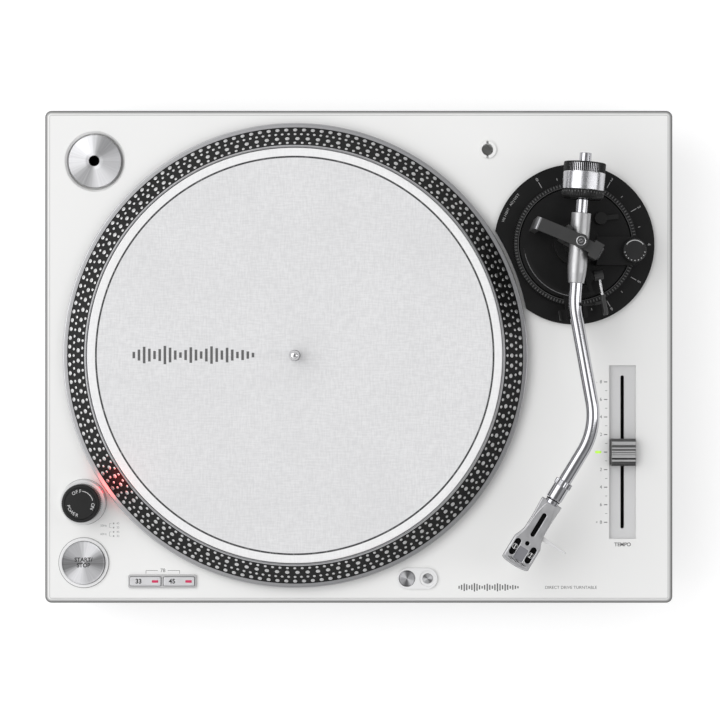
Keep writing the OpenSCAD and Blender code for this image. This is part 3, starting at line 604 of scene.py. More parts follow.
def printed_arc(radius, start, stop, width, where, steps=48):
    """A printed arc about the origin of where, angles in degrees."""
    rows = []
    for k in range(steps + 1):
        a = math.radians(start + (stop - start) * k / steps)
        inner, outer = ray(a, radius - width / 2), ray(a, radius + width / 2)
        rows.append([where @ Vector(p) for p in ((*inner, 0), (*outer, 0), (*outer, PRINT_THICK),
                                                 (*inner, PRINT_THICK))])
    return joined_rows(rows, stop - start < 360)


def printed_ring(radius, width, where, steps=96):
    return printed_arc(radius, 0, 360, width, where, steps)


def swept(path, radius, steps=40):
    """A round bar along a path of points, with flat ends."""
    rows = []
    for i, p in enumerate(path):
        ahead = (path[min(i + 1, len(path) - 1)] - path[max(i - 1, 0)]).normalized()
        side = ahead.cross(Vector((0, 0, 1))).normalized()
        up = side.cross(ahead)
        rows.append([])
        for k in range(steps):
            c, s = ray(TAU * k / steps, radius)
            rows[-1].append(p + c * side + s * up)
    return joined_rows(rows)


# ------------------------------------------------------------ camera, light and stage

def make_camera():
    """Straight above the deck, upright on +Y."""
    data = bpy.data.cameras.new("camera")
    data.sensor_width = 36
    data.lens = 116.3
    data.clip_start = 0.01
    data.clip_end = 50
    camera = bpy.data.objects.new("camera", data)
    bpy.context.scene.collection.objects.link(camera)
    # the lens, the distance and the small offset come from matching the photo's outline
    camera.location = (0.0009, -0.0023, DECK_Z * MM + 1.667)
    bpy.context.scene.camera = camera


def area_light(name, location, size, size_y, power):
    """A soft rectangle of light, aimed at the deck."""
    data = bpy.data.lights.new(name, "AREA")
    data.energy = power
    data.shape = "RECTANGLE"
    data.size, data.size_y = size, size_y
    light = bpy.data.objects.new(name, data)
    light.location = location
    light.rotation_euler = (Vector((0, 0, 0.08)) - Vector(location)).to_track_quat("-Z", "Y").to_euler()
    bpy.context.scene.collection.objects.link(light)


def make_stage():
    bpy.ops.mesh.primitive_plane_add(size=12, location=(0, 0, 0))
    floor = bpy.context.object
    floor.name = "floor"
    n = Nodes("floor_white")
    n.wire(Emission_Color=(1, 1, 1, 1), Emission_Strength=0.58,
           Base_Color=n.mix(n.spread(n.noise(1.5, 3), 0, 1), 0.52, 0.54),
           Roughness=n.spread(n.noise(20, 3), 0.75, 0.85))
    floor.data.materials.append(n.material)


def make_light():
    """A pale studio: a large softbox behind the left shoulder, a narrow one on the right and a dim ceiling."""
    world = bpy.data.worlds.new("studio")
    bpy.context.scene.world = world
    world.use_nodes = True
    tree = world.node_tree
    background = tree.nodes["Background"]
    place = tree.nodes.new("ShaderNodeTexCoord").outputs["Generated"]
    split = tree.nodes.new("ShaderNodeSeparateXYZ")
    tree.links.new(place, split.inputs[0])
    ramp = tree.nodes.new("ShaderNodeValToRGB")
    tree.links.new(split.outputs["Z"], ramp.inputs[0])
    stops = ramp.color_ramp.elements
    stops[0].position, stops[0].color = 0.0, (0.16, 0.16, 0.165, 1)
    stops[1].position, stops[1].color = 1.0, (0.34, 0.34, 0.345, 1)
    for position, level in ((0.22, 0.20), (0.42, 1.15), (0.80, 1.25), (0.93, 0.42)):
        stop = stops.new(position)
        stop.color = (level, level, level * 1.01, 1)
    side = tree.nodes.new("ShaderNodeMapRange")
    tree.links.new(split.outputs["X"], side.inputs["Value"])
    for key, value in (("From Min", -0.7), ("From Max", 0.7), ("To Min", 1.12), ("To Max", 0.44)):
        side.inputs[key].default_value = value
    tree.links.new(ramp.outputs["Color"], background.inputs["Color"])
    tree.links.new(side.outputs["Result"], background.inputs["Strength"])
    area_light("key", (-1.5, 0.45, 1.9), 2.4, 2.4, 27)
    area_light("strip", (1.25, 0.0, 1.25), 0.35, 1.8, 4.5)
    bpy.context.scene.view_settings.view_transform = "Standard"


make_camera()
make_stage()
make_light()

# ------------------------------------------------------------ shared materials

WHITE = cabinet_paint()
CASE = moulded("case_dark_grey", 0.055, 0.55, 0.00006, 1800)
BLACK = moulded("black_plastic", 0.008, 0.42, specular=0.3)
SATIN_BLACK = moulded("arm_base_black", 0.004, 0.38, 0.00004, 2200, 0.12, specular=0.25)
RUBBER = moulded("foot_rubber", 0.03, 0.75, 0.00008, 1500, 0.12, specular=0.3)
YOKE = moulded("yoke_grey", 0.040, 0.36, 0.00003, 2600, 0.06, specular=0.35)
HOUSING_METAL = cast_metal("housing_satin", (0.42, 0.42, 0.425), 0.40, 0.03, 0.00001)
STEEL = polished("steel", (0.72, 0.72, 0.73), 0.16)
CHROME = polished("chrome", (0.45, 0.45, 0.47), 0.12)
SILVER = cast_metal("satin_silver", (0.66, 0.66, 0.67), 0.3)
SHELL_SILVER = cast_metal("shell_silver", (0.56, 0.56, 0.57), 0.34, 0.05, metallic=0.85)
DEEP_BLACK = moulded("deep_black", 0.003, 0.6, specular=0.1)
# dark grey for painted shade in the nut's knurl grooves
GROOVE_SHADE = moulded("groove_shade_grey", 0.03, 0.5, specular=0.3)
BRASS = cast_metal("brass", (0.62, 0.45, 0.22), 0.3)
COPPER = cast_metal("copper", (0.55, 0.26, 0.13), 0.35)
BOARD = moulded("board_green", (0.02, 0.11, 0.045), 0.35)
MAGNET = moulded("magnet_grey", 0.08, 0.5)
PALE = moulded("recess_grey", 0.62, 0.45, 0.00003, 2400, 0.02)
PRINT_GREY = ink("print_grey", 0.26)
PRINT_BLACK = ink("print_black", 0.012)
PRINT_WHITE = ink("print_white", 0.62)
PRINT_DIM = ink("print_dim", 0.22)
PRINT_MID = ink("print_mid", 0.10)

set_material(WHITE, "top_cabinet", slot="cabinet_white")
set_material(CASE, "bottom_case", slot="case_grey")
set_material(STEEL, "case_screws", "foot_stud_1", "foot_stud_2", "foot_stud_3", "foot_stud_4")
set_material(BOARD, "main_board", "power_board")
set_material(COPPER, "motor_stator")
set_material(BRASS, "spindle_bearing")
set_material(MAGNET, "rotor_magnet")
set_material(BLACK, "rear_panel", "line_switch", "tempo_pot", "cartridge", "stylus")
set_material(CASE, "power_inlet")
set_material(SILVER, "rca_jacks", "usb_port", "ground_nut")
set_material(SATIN_BLACK, "arm_base", "arm_deck", "arm_rest", slot="base_black")
set_material(BLACK, "height_lock_lever", "arm_clamp")
set_material(YOKE, "gimbal_yoke", "gimbal_frame", slot="yoke_grey")
set_material(PALE, "tempo_panel", slot="recess_grey")
set_material(WHITE, "headshell_stand")


# ------------------------------------------------------------ platter, mat and spindle

RIM_R, MAT_R = radius_of("platter"), radius_of("slipmat")
PLATTER_TOP, MAT_TOP = top_of("platter"), top_of("slipmat")
BED_Z = box("slipmat")[0].z
BAND_OUT_R, BAND_IN_R = RIM_R - 3.1, RIM_R - 16.9
LEDGE_Z, BAND_TOP_Z = 87.3, PLATTER_TOP - 0.6
SHAFT_R = 3.0


def make_platter():
    skirt_z, under_z = 82.5, BED_Z - 5.5
    points = rounded_corners([
        (SHAFT_R, BED_Z - 14), (41, BED_Z - 14, 0.3), (43, under_z, 0.3), (142, under_z, 0.5),
        (156, skirt_z + 3.5, 0.5), (158, skirt_z, 0.4), (RIM_R, skirt_z, 0.5), (RIM_R, LEDGE_Z, 0.8),
        (BAND_OUT_R, LEDGE_Z, 0.25), (BAND_IN_R, BAND_TOP_Z, 0.25), (BAND_IN_R - 0.5, PLATTER_TOP, 0.3),
        (MAT_R + 0.6, PLATTER_TOP, 0.3), (MAT_R + 0.3, BED_Z, 0.1), (SHAFT_R, BED_Z)], 3)
    slots = []
    for (r0, z0), (r1, z1) in zip(points, points[1:] + points[:1]):
        on_band = BAND_IN_R - 0.1 < (r0 + r1) / 2 < BAND_OUT_R + 0.1 and (z0 + z1) / 2 > LEDGE_Z - 0.1
        slots.append(1 if on_band and abs(z1 - z0) > 1 else 0)
    band = Nodes("platter_band")
    speck = band.noise(1500, 3)
    band.wire(Specular_IOR_Level=0.28,
              Base_Color=band.mix(band.spread(speck, 0, 1), 0.004, 0.009),
              Roughness=band.spread(band.noise(200, 3), 0.34, 0.46),
              Normal=band.bump(speck, 0.35, 0.00003))
    add_piece("platter_disc", lathe(points, upright(PLATTER), 256, slots), "platter",
              [spun("platter_turned", PLATTER, (0.46, 0.46, 0.47), 0.3, 0.5, 0.0003), band.material],
              "platter")


def make_strobe_dots():
    """Four rows of dots, cast slightly proud of the sloping band."""
    slope = Vector((BAND_IN_R - BAND_OUT_R, 0, BAND_TOP_Z - LEDGE_Z))
    bm = bmesh.new()
    sides = 14
    for radius, count, dot_r in ((160.8, 160, 1.5), (157.5, 216, 1.0), (154.0, 133, 1.55), (150.8, 180, 1.05)):
        share = (BAND_OUT_R - radius) / (BAND_OUT_R - BAND_IN_R)
        for k in range(count):
            turn = Matrix.Rotation(TAU * k / count, 3, "Z")
            up_slope, across = (turn @ slope).normalized(), turn @ Vector((0, 1, 0))
            out = across.cross(up_slope)
            if out.z < 0:
                out = -out
            middle = Vector((PLATTER.x, PLATTER.y, LEDGE_Z)) + turn @ Vector((BAND_OUT_R, 0, 0)) \
                + turn @ slope * share
            rings = []
            for size, lift in ((1.0, -0.1), (1.0, 0.06), (0.86, 0.16), (0.5, 0.24)):
                rings.append([])
                for i in range(sides):
                    c, s = ray(TAU * i / sides, dot_r * size)
                    rings[-1].append(bm.verts.new(middle + out * lift + across * c + up_slope * s))
            tip = bm.verts.new(middle + out * 0.26)
            for i in range(sides):
                j = (i + 1) % sides
                for a, b in zip(rings, rings[1:]):
                    bm.faces.new((a[i], a[j], b[j], b[i]))
                bm.faces.new((rings[-1][i], rings[-1][j], tip))
            bm.faces.new(rings[0][::-1])
    add_piece("strobe_dots", mesh_from(bm), "platter",
              cast_metal("dot_silver", 0.70, 0.42, 0.05, edge=0.0001),
              weighted=False)


def make_slipmat():
    hole_r = 3.7
    points = rounded_corners([(hole_r, BED_Z), (MAT_R, BED_Z, 0.4), (MAT_R, MAT_TOP, 0.9), (hole_r, MAT_TOP, 0.5)])
    piece = add_piece("felt_mat", lathe(points, upright(PLATTER), 256), "slipmat",
                      felt("slipmat_felt", PLATTER, 0.1407, 0.0013), "slipmat")


def make_spindle():
    low, high = box("spindle")
    pin_r = 3.6
    points = [(0, low.z), (SHAFT_R, low.z), (SHAFT_R, MAT_TOP + 0.5), (pin_r, MAT_TOP + 0.5),
              (pin_r, high.z - 3.9), (pin_r - 0.4, high.z - 2.0)]
    for degrees in range(0, 90, 15):
        c, s = ray(math.radians(degrees))
        points.append((2.6 * c, high.z - 1.1 + 1.1 * s))
    add_piece("centre_pin", lathe(points + [(0, high.z)], upright(PLATTER), 64), "platter",
              polished("pin_steel", (0.75, 0.75, 0.76), 0.12), "spindle")


make_platter()
make_strobe_dots()
make_slipmat()
make_spindle()


# ------------------------------------------------------------ record adapter

def make_adapter():
    middle = centre("ep_adapter")
    low, high = box("ep_adapter")
    radius = radius_of("ep_adapter")
    points = rounded_corners(
        [(3.8, low.z, 0), (radius, low.z, 0.4), (radius, high.z - 3.4, 0.4), (radius - 1.4, high.z - 3.0),
         (7, high.z - 0.2, 0.6), (6.2, high.z), (3.8, high.z)], radius=0.3)
    add_piece("adapter_disc", lathe(points, upright(middle)), "ep_adapter",
              spun("adapter_turned", middle, (0.56, 0.56, 0.57), 0.42, 0.2, depth=0.0000003, painted_sheen=0.62,
                   sheen_turn=3.3, metallic=0.3), "ep_adapter")
    # a black lining inside the bore: painted shade in the hole
    lining = [(3.78, low.z + 0.2), (3.82, high.z - 0.5), (3.4, high.z - 0.6), (3.4, low.z + 0.2)]
    add_piece("adapter_hole_shade", lathe(lining, upright(middle), 48), "ep_adapter", DEEP_BLACK)
    add_print("well_shade", slab([circle_outline(3.7)], upright(middle), low.z + 0.02, low.z + 0.1,
                                 0.01), "cabinet", DEEP_BLACK)


make_adapter()


# ------------------------------------------------------------ power knob and start button

POWER = pivot("power_knob_turn")
START = centre("start_stop_button")
BEZEL_TOP = top_of("button_bezels")


def arc_text(text, size, radius, middle_angle, where, inward=False):
    """Letters one by one round an arc, read clockwise from outside, or anticlockwise where inward."""
    meshes = []
    for i, letter in enumerate(text):
        offset = (i - (len(text) - 1) / 2) * size * 1.05 / radius
        a = math.radians(middle_angle) + (offset if inward else -offset)
        turn = a + math.pi / 2 if inward else a - math.pi / 2
        meshes.append(lettering(letter, size, turned(shifted(where, *ray(a, radius)), turn)))
    return meshes


def make_power_knob():
    low, high = box("power_knob")
    r, top, base_z = 13.7, high.z, BEZEL_TOP + 0.3
    profile = [(0, base_z), (r - 0.3, base_z), (r, base_z + 0.4), (r, top - 1.6), (r - 0.25, top - 0.9),
               (r - 0.9, top - 0.35), (r - 2.2, top - 0.3), (r - 2.5, top - 0.75), (r - 2.8, top - 0.3),
               (0, top - 0.2)]
    grip = lathe(profile, upright(POWER), knurl=(60, 0.3, base_z, top - 1.2))
    add_piece("power_dial", [grip, rod(6, low.z, base_z + 0.1, upright(POWER))], "power_knob",
              moulded("power_black", 0.009, 0.36, 0.00003, 2400, specular=0.35), "power_knob")
    face = upright(POWER, top - 0.26)
    marks = arc_text("OFF", 2.3, 8.7, 107, face) + arc_text("ON", 2.3, 8.7, -14, face)
    marks += arc_text("POWER", 2.2, 8.7, 222, face, inward=True) + [printed_arc(8.9, 14, 82, 0.4, face)]
    add_print("power_marks", marks, "power_knob", PRINT_WHITE)


def make_strobe_lamp():
    """The red lamp in the side of the power knob's collar, and its wide glow on the dots."""
    outward = Vector((PLATTER.x - POWER.x, PLATTER.y - POWER.y, 0)).normalized()
    spot = Vector((POWER.x, POWER.y, 0)) + outward * 15.3
    aim = frame_at((spot.x, spot.y, DECK_Z + 5.2), outward)
    window = slab([rectangle(6, 3.4, 1.2)], turned(along(aim), math.pi / 2), 0, 0.58, 0.15)
    add_piece("strobe_window", window, "cabinet",
              glowing("strobe_red", (1.0, 0.06, 0.09), 1.6, (0.5, 0.02, 0.03), spot, 0.004))
    data = bpy.data.lights.new("strobe_glow", "SPOT")
    data.energy = 0.024
    data.color = (1.0, 0.05, 0.04)
    data.spot_size = math.radians(125)
    data.spot_blend = 1.0
    data.shadow_soft_size = 0.008
    light = bpy.data.objects.new("strobe_glow", data)
    bpy.context.scene.collection.objects.link(light)
    light.location = (Vector((POWER.x, POWER.y, DECK_Z + 24)) + outward * 18) * MM
    light.rotation_euler = (outward * 8 - Vector((0, 0, 10))).to_track_quat("-Z", "Y").to_euler()


def make_start_button():
    low, high = box("start_stop_button")
    r, guide_r = 15.3, high.x - START.x
    points = rounded_corners([(0, low.z), (guide_r, low.z, 0.2), (guide_r, low.z + 3, 0.2), (r, low.z + 3),
                              (r, high.z)], closed=False)
    points += [(r - 0.7, high.z), (r - 1.0, high.z - 0.15), (0, high.z - 0.15)]
    add_piece("start_disc", lathe(points, upright(START)), "start_stop_button",
              spun("start_turned", START, (0.50, 0.50, 0.51), 0.34, 0.3, depth=0.0000004, painted_sheen=0.78,
                   sheen_turn=-1.2, metallic=0.55), "start_stop_button")
    face = upright(START, high.z - 0.15)
    add_print("start_marks", [lettering("START/", 2.8, shifted(face, 0, 2.2), 0.09),
                              lettering("STOP", 2.8, shifted(face, 0, -1.9), 0.09)], "start_stop_button", PRINT_BLACK)


def make_button_outlines():
    """The narrow dark gap round the start button, and the painted shadow lines round the start button's and the power
    knob's collars.
    """
    add_print("start_gap", printed_ring(15.5, 0.5, upright(START, BEZEL_TOP - 8.25)), "cabinet",
              ink("gap_dark", 0.05))
    add_print("collar_lines", [printed_ring(18.0, 0.35, upright(START, DECK_Z)),
                               printed_ring(16.3, 0.35, upright(POWER, DECK_Z))], "cabinet", PRINT_DIM)


make_power_knob()
make_strobe_lamp()
make_start_button()
make_button_outlines()
set_material(moulded("bezel_white", 0.80, 0.35, coat=0.2), "button_bezels")


# ------------------------------------------------------------ speed buttons

def make_speed_buttons():
    set_material(moulded("speed_frame", 0.46, 0.4), "speed_bezel")
    metal = cast_metal("speed_silver", (0.70, 0.70, 0.71), 0.42, 0.04, metallic=0.6)
    for name in ("33", "45"):
        node = "speed_button_" + name
        low, high = box(node)
        middle = centre(node)
        width, depth = high.x - low.x, high.y - low.y - 3
        place = upright(middle)
        parts = [slab([rectangle(width, depth, 0.8)], place, high.z - 5, high.z, 0.45, 3),
                 slab([rectangle(width, depth + 3, 0.8)], place, low.z, low.z + 3),
                 slab([rectangle(width - 0.6, depth - 0.6, 0.6)], place, low.z + 1, high.z - 3, 0.1)]
        add_piece("speed_key_" + name, parts, node, metal, node)
        add_print("speed_mark_" + name, lettering(name, 3.2, upright(middle + Vector((-4.9, 0, 0)), high.z), 0.09),
                  node, PRINT_BLACK)
        lens_at = middle + Vector((6.9, 0, 0))
        add_piece("speed_light_" + name,
                  slab([rectangle(4.6, 1.8, 0.3)], upright(lens_at), high.z - 1, high.z + 0.12, 0.1), node,
                  glowing("speed_red_" + name, (0.75, 0.03, 0.13), 0.5, (0.26, 0.02, 0.05), lens_at, 0.004))


LEVELS = [0.35, 0.6, 0.9, 0.7, 0.45, 0.65, 1.0, 0.8, 0.5, 0.3, 0.55, 0.85, 0.6, 0.4, 0.7, 0.95, 0.75, 0.5, 0.8,
          0.6, 0.35, 0.55, 0.4, 0.25]


def bar_row(left, right, y, tallest, where, heights, width=0.5):
    """A row of upright bars, like a sound level display, in place of a maker's lettering."""
    pitch = (right - left) / len(heights)
    bars = []
    for k, h in enumerate(heights):
        x = left + (k + 0.5) * pitch
        bars.append(dash(x, y - tallest * h / 2, x, y + tallest * h / 2, pitch * width, where))
    return bars


def make_deck_print():
    deck = upright((0, 0), DECK_Z)
    marks = [lettering(text, 1.5, shifted(deck, -182.9, y)) for text, y in (("50Hz", -121.1), ("60Hz", -127.1))]
    for rows in ((-119.4, -122.4), (-125.5, -128.5)):
        marks.append(dash(-178.6, rows[0], -178.6, rows[1], 0.22, deck))
        for y, text in zip(rows, ("45", "33")):
            marks += [dash(-178.6, y, -177.2, y, 0.22, deck), dash(-176.2, y, -175.2, y, 1.0, deck),
                      lettering(text, 1.5, shifted(deck, -172.6, y))]
    add_print("deck_print", marks, "cabinet", PRINT_GREY)
    stretched = shifted(deck, 152.1, -165.4) @ Matrix.Scale(1.02, 4, (1, 0, 0))
    strong = [lettering("DIRECT DRIVE TURNTABLE", 2.1, stretched),
              lettering("78", 2.6, shifted(deck, -140.4, -153.2))]
    for outer, inner in ((-152.5, -143.9), (-128.4, -136.9)):
        strong += [dash(outer, -155.4, outer, -153.2, 0.3, deck), dash(outer, -153.2, inner, -153.2, 0.3, deck)]
    add_print("front_print", strong + bar_row(71, 115, -165.2, 6, deck, LEVELS), "cabinet", PRINT_MID)
    add_print("mat_print", bar_row(-161, -73, 1.2, 13, upright((0, 0), MAT_TOP), LEVELS), "slipmat", PRINT_MID)


make_speed_buttons()
make_deck_print()


# ------------------------------------------------------------ stylus lamp and its button

for node, name, tone, painted_sheen, sheen_turn in (("target_lamp", "lamp_turned", 0.46, 0.9, 2.4),
                                             ("lamp_button", "lamp_button_turned", 0.50, 0.8, 0.4)):
    metal = spun(name, centre(node), (tone, tone, tone + 0.01), 0.30, 0.3, depth=0.0000004,
                 painted_sheen=painted_sheen, sheen_turn=sheen_turn, metallic=0.6)
    set_material(metal, node, slot="spun_aluminium")
set_material(moulded("lamp_bezel_white", 0.78, 0.36, coat=0.2), "lamp_bezel")


# ------------------------------------------------------------ tempo slider

def make_tempo_knob():
    low, high = box("tempo_knob")
    middle = centre("tempo_knob")
    width, half = high.x - low.x, (high.y - low.y) / 2
    base_z, top = DECK_Z - 1.4, high.z

    def step(rear, front, z0, z1, edge, side=0.0):
        """One band of the knob, between two distances in front of and behind its middle."""
        return slab([rectangle(width - side, rear - front, 0.2)],
                    upright(middle + Vector((0, (rear + front) / 2, 0))), z0, z1, edge, 3)

    ridges = [step(rear, front, top - 1.6, top, 0.25, 0.3)
              for rear, front in ((7.8, 5.3), (3.6, 2.4), (1.3, 0.1), (-0.3, -1.5), (-1.7, -3.9), (-5.1, -6.5))]
    stem = slab([rectangle(2, 5, 0.3)], upright(middle), low.z, base_z + 1)
    add_piece("tempo_grip", ridges + [stem], "tempo_knob",
              moulded("tempo_silver", 0.42, 0.38, 0.00001, 2200, 0.03, edge=0.00006), "tempo_knob",
              20)
    body = [step(half, -half, base_z, top - 3.0, 0.5), step(8.9, -8.7, base_z, top - 1.9, 0.5),
            step(8.2, -7.4, base_z, top - 0.9, 0.4)]
    add_piece("tempo_body", body, "tempo_knob",
              moulded("tempo_shaded", 0.085, 0.38, 0.00001, 2200, 0.05, edge=0.00006), smooth=20)
    # a black strip in the gap between two ridges: painted shade in the groove
    add_print("tempo_groove_shade", dash(-width / 2 + 0.2, -4.5, width / 2 - 0.2, -4.5, 0.8, upright(middle, top - 0.9)),
              "tempo_knob", DEEP_BLACK)


def make_tempo_marks():
    middle = centre("tempo_panel")
    deck = upright((0, 0), DECK_Z)
    travel = JOINTS["tempo_slide"]["range_m"][1] / MM
    edge = middle.x - 9.55
    marks = []
    for k in range(-8, 9):
        y = middle.y + travel * k / 8
        long = k % 2 == 0
        marks.append(dash(edge - (3.8 if long else 3.0), y, edge - 1.4, y, 0.6 if long else 0.3, deck))
        if long and k:
            marks.append(lettering(str(abs(k)), 2.3, shifted(deck, edge - 6.0, y)))
    for text, y in (("-", travel), ("+", -travel)):
        marks.append(lettering(text, 2.0, shifted(deck, edge - 9.0, middle.y + y)))
    marks.append(lettering("TEMPO", 2.6, shifted(deck, middle.x, middle.y - 66.3), 0.06))
    add_print("tempo_scale", marks, "cabinet", PRINT_MID)
    lens_at = Vector((edge - 7.9, middle.y, 0))
    add_piece("tempo_light",
              slab([rectangle(4.4, 1.7, 0.4)], upright(lens_at), DECK_Z - 0.3, DECK_Z + 0.12, 0.1), "cabinet",
              glowing("tempo_green", (0.45, 1.0, 0.05), 0.55, (0.40, 0.62, 0.08), lens_at, 0.0034))


make_tempo_knob()
make_tempo_marks()


# ------------------------------------------------------------ tonearm

ARM_PIVOT = Vector((ARM.x, ARM.y, ARM_Z))
TILT_BEARING = frame_at(ARM_PIVOT, -direction("arm_tilt"))


def arm_route():
    """Centreline of the S-shaped tube, from inside the housing to the headshell nut. A leg is a length, or
    a bend's radius and its angle."""
    heading = math.atan2(FORWARD.y, FORWARD.x)
    point = ARM_PIVOT + FORWARD * 20
    path = [point]
    for size, *bend in ((17.1,), (60, 14.5), (61,), (50, -41.5), (38.6,)):
        ahead = Vector((*ray(heading), 0))
        if not bend:
            path += [point + ahead * size * k / 6 for k in range(1, 7)]
        else:
            turn = math.radians(bend[0])
            middle = point + math.copysign(size, turn) * Vector((-ahead.y, ahead.x, 0))
            spoke = point - middle
            count = max(8, int(abs(bend[0])))
            path += [middle + Matrix.Rotation(turn * k / count, 3, "Z") @ spoke for k in range(1, count + 1)]
            heading += turn
        point = path[-1]
    return path


def make_arm_tube():
    add_piece("arm_pipe", swept(arm_route(), 4.6, 56), "arm", CHROME, "arm_tube",
              weighted=False)


def make_housing():
    profile = rounded_corners([(0, -20.2), (6.9, -20.2, 0.5), (6.9, -8, 8), (6.6, 4, 30), (6.9, 16, 10),
                               (6.55, 22, 10), (5.6, 29, 0.5), (4.65, 29, 0.1), (4.65, 20), (0, 20)], 6)
    add_piece("arm_barrel", lathe(profile, along(HOUSING), 96), "arm", HOUSING_METAL,
              "arm_housing")
    stub = rounded_corners([(0, -62.4), (4.2, -62.4, 0.5), (4.2, -19), (0, -19)])
    add_piece("rear_stub", lathe(stub, along(HOUSING), 64), "arm", CHROME)
    add_piece("tilt_pins", rod(1.5, -12.6, 12.6, along(TILT_BEARING), 24), "arm", STEEL)


def make_counterweight():
    where = along(HOUSING)
    r, bore = 14.7, 6.55
    back, knurl, front, dial = -55.5, -48.3, -36, -30
    profile = rounded_corners([
        (bore, back + 0.6), (r - 1.2, back + 0.6, 0.3), (r - 0.5, back + 0.9, 0.2), (r - 0.5, knurl),
        (r, knurl + 0.2, 0.15), (r, front - 0.4, 0.3), (r - 0.4, front, 0.2), (9.0, front),
        (9.0, dial - 0.6, 0.2), (bore, dial - 0.6)], 3)
    add_piece("weight_body", lathe(profile, where), "counterweight",
              cast_metal("weight_satin", (0.55, 0.55, 0.57), 0.24, 0.03, 0.000005), "counterweight")
    grip = [(r - 1.6, back), (r - 0.5, back), (r, back + 0.5), (r, knurl - 0.5), (r - 0.4, knurl - 0.1),
            (r - 1.6, knurl - 0.1)]
    add_piece("weight_grip", lathe(grip, where, knurl=(64, 0.55, back + 0.4, knurl - 0.4)),
              "counterweight", moulded("weight_black", 0.007, 0.34, specular=0.22))
    ring = [(9.05, front + 0.3), (r - 0.3, front + 0.3), (r, front + 0.6), (r, dial - 2.4),
            (r - 0.5, dial - 1.2), (r - 1.6, dial), (9.05, dial)]
    add_piece("force_dial", lathe(ring, where, knurl=(60, 0.3, front + 0.5, dial - 2.3)), "weight_dial",
              moulded("dial_black", 0.007, 0.34, specular=0.22), "weight_dial")
    rings = [lathe(rounded_corners([(q - 0.35, z - 0.25), (q + 0.02, z - 0.25), (q + 0.02, z + 0.2),
                                            (q - 0.35, z + 0.2)], 2, 0.08), where, 96)
             for q, z in ((r - 0.7, back + 0.55), (r - 0.3, knurl))]
    add_piece("weight_edges", rings, "counterweight", STEEL)
    ticks = [dash(front + 0.9, 0, front + (2.0 if k % 4 else 2.8), 0, 0.25,
                  shifted(turned(HOUSING, TAU * k / 40, "X"), 0, 0, r - 0.01)) for k in range(40)]
    add_print("force_marks", ticks, "weight_dial", PRINT_DIM)
    set_material(YOKE, "weight_sleeve")


def make_nut():
    low, teeth = -14.9, 26
    profile = rounded_corners([(4.65, low), (6.2, low, 0.4), (6.2, low + 4.2, 0.2), (5.75, low + 4.4, 0.1),
                               (5.75, -0.3, 0.4), (4.65, -0.3)], 3)
    nut = lathe(profile, along(SHELL), knurl=(teeth, 0.55, low + 0.4, low + 4.0))
    add_piece("locking_nut", nut, "headshell_nut", CHROME, "headshell_nut")
    # dark grey strips on the floors of the knurl's gaps: painted shade in the grooves
    grooves = [dash(low + 0.6, 0, low + 3.8, 0, 0.5,
                    shifted(turned(SHELL, TAU * (k + 0.5) / teeth, "X"), 0, 0, 5.68)) for k in range(teeth)]
    add_print("nut_groove_shade", grooves, "headshell_nut", GROOVE_SHADE)


SCREW_X, SCREW_Y = 41.8, 6.35


def shell_outline():
    """The headshell seen from above, in its own frame."""
    side = [(2.6, 7.6, 0.5), (16, 7.0, 9), (27, 7.2, 5), (31, 8.4, 4), (35, 10.1, 4), (51.7, 10.15, 0.6)]
    steep = math.sin(math.radians(80))
    nose = [(51.7 + 1.8 * math.cos(math.radians(a)), 10.15 * math.sin(math.radians(a)) / steep)
            for a in range(-64, 65, 16)]
    return rounded_corners([(x, -y, r) for x, y, r in side] + nose + side[::-1], 5)


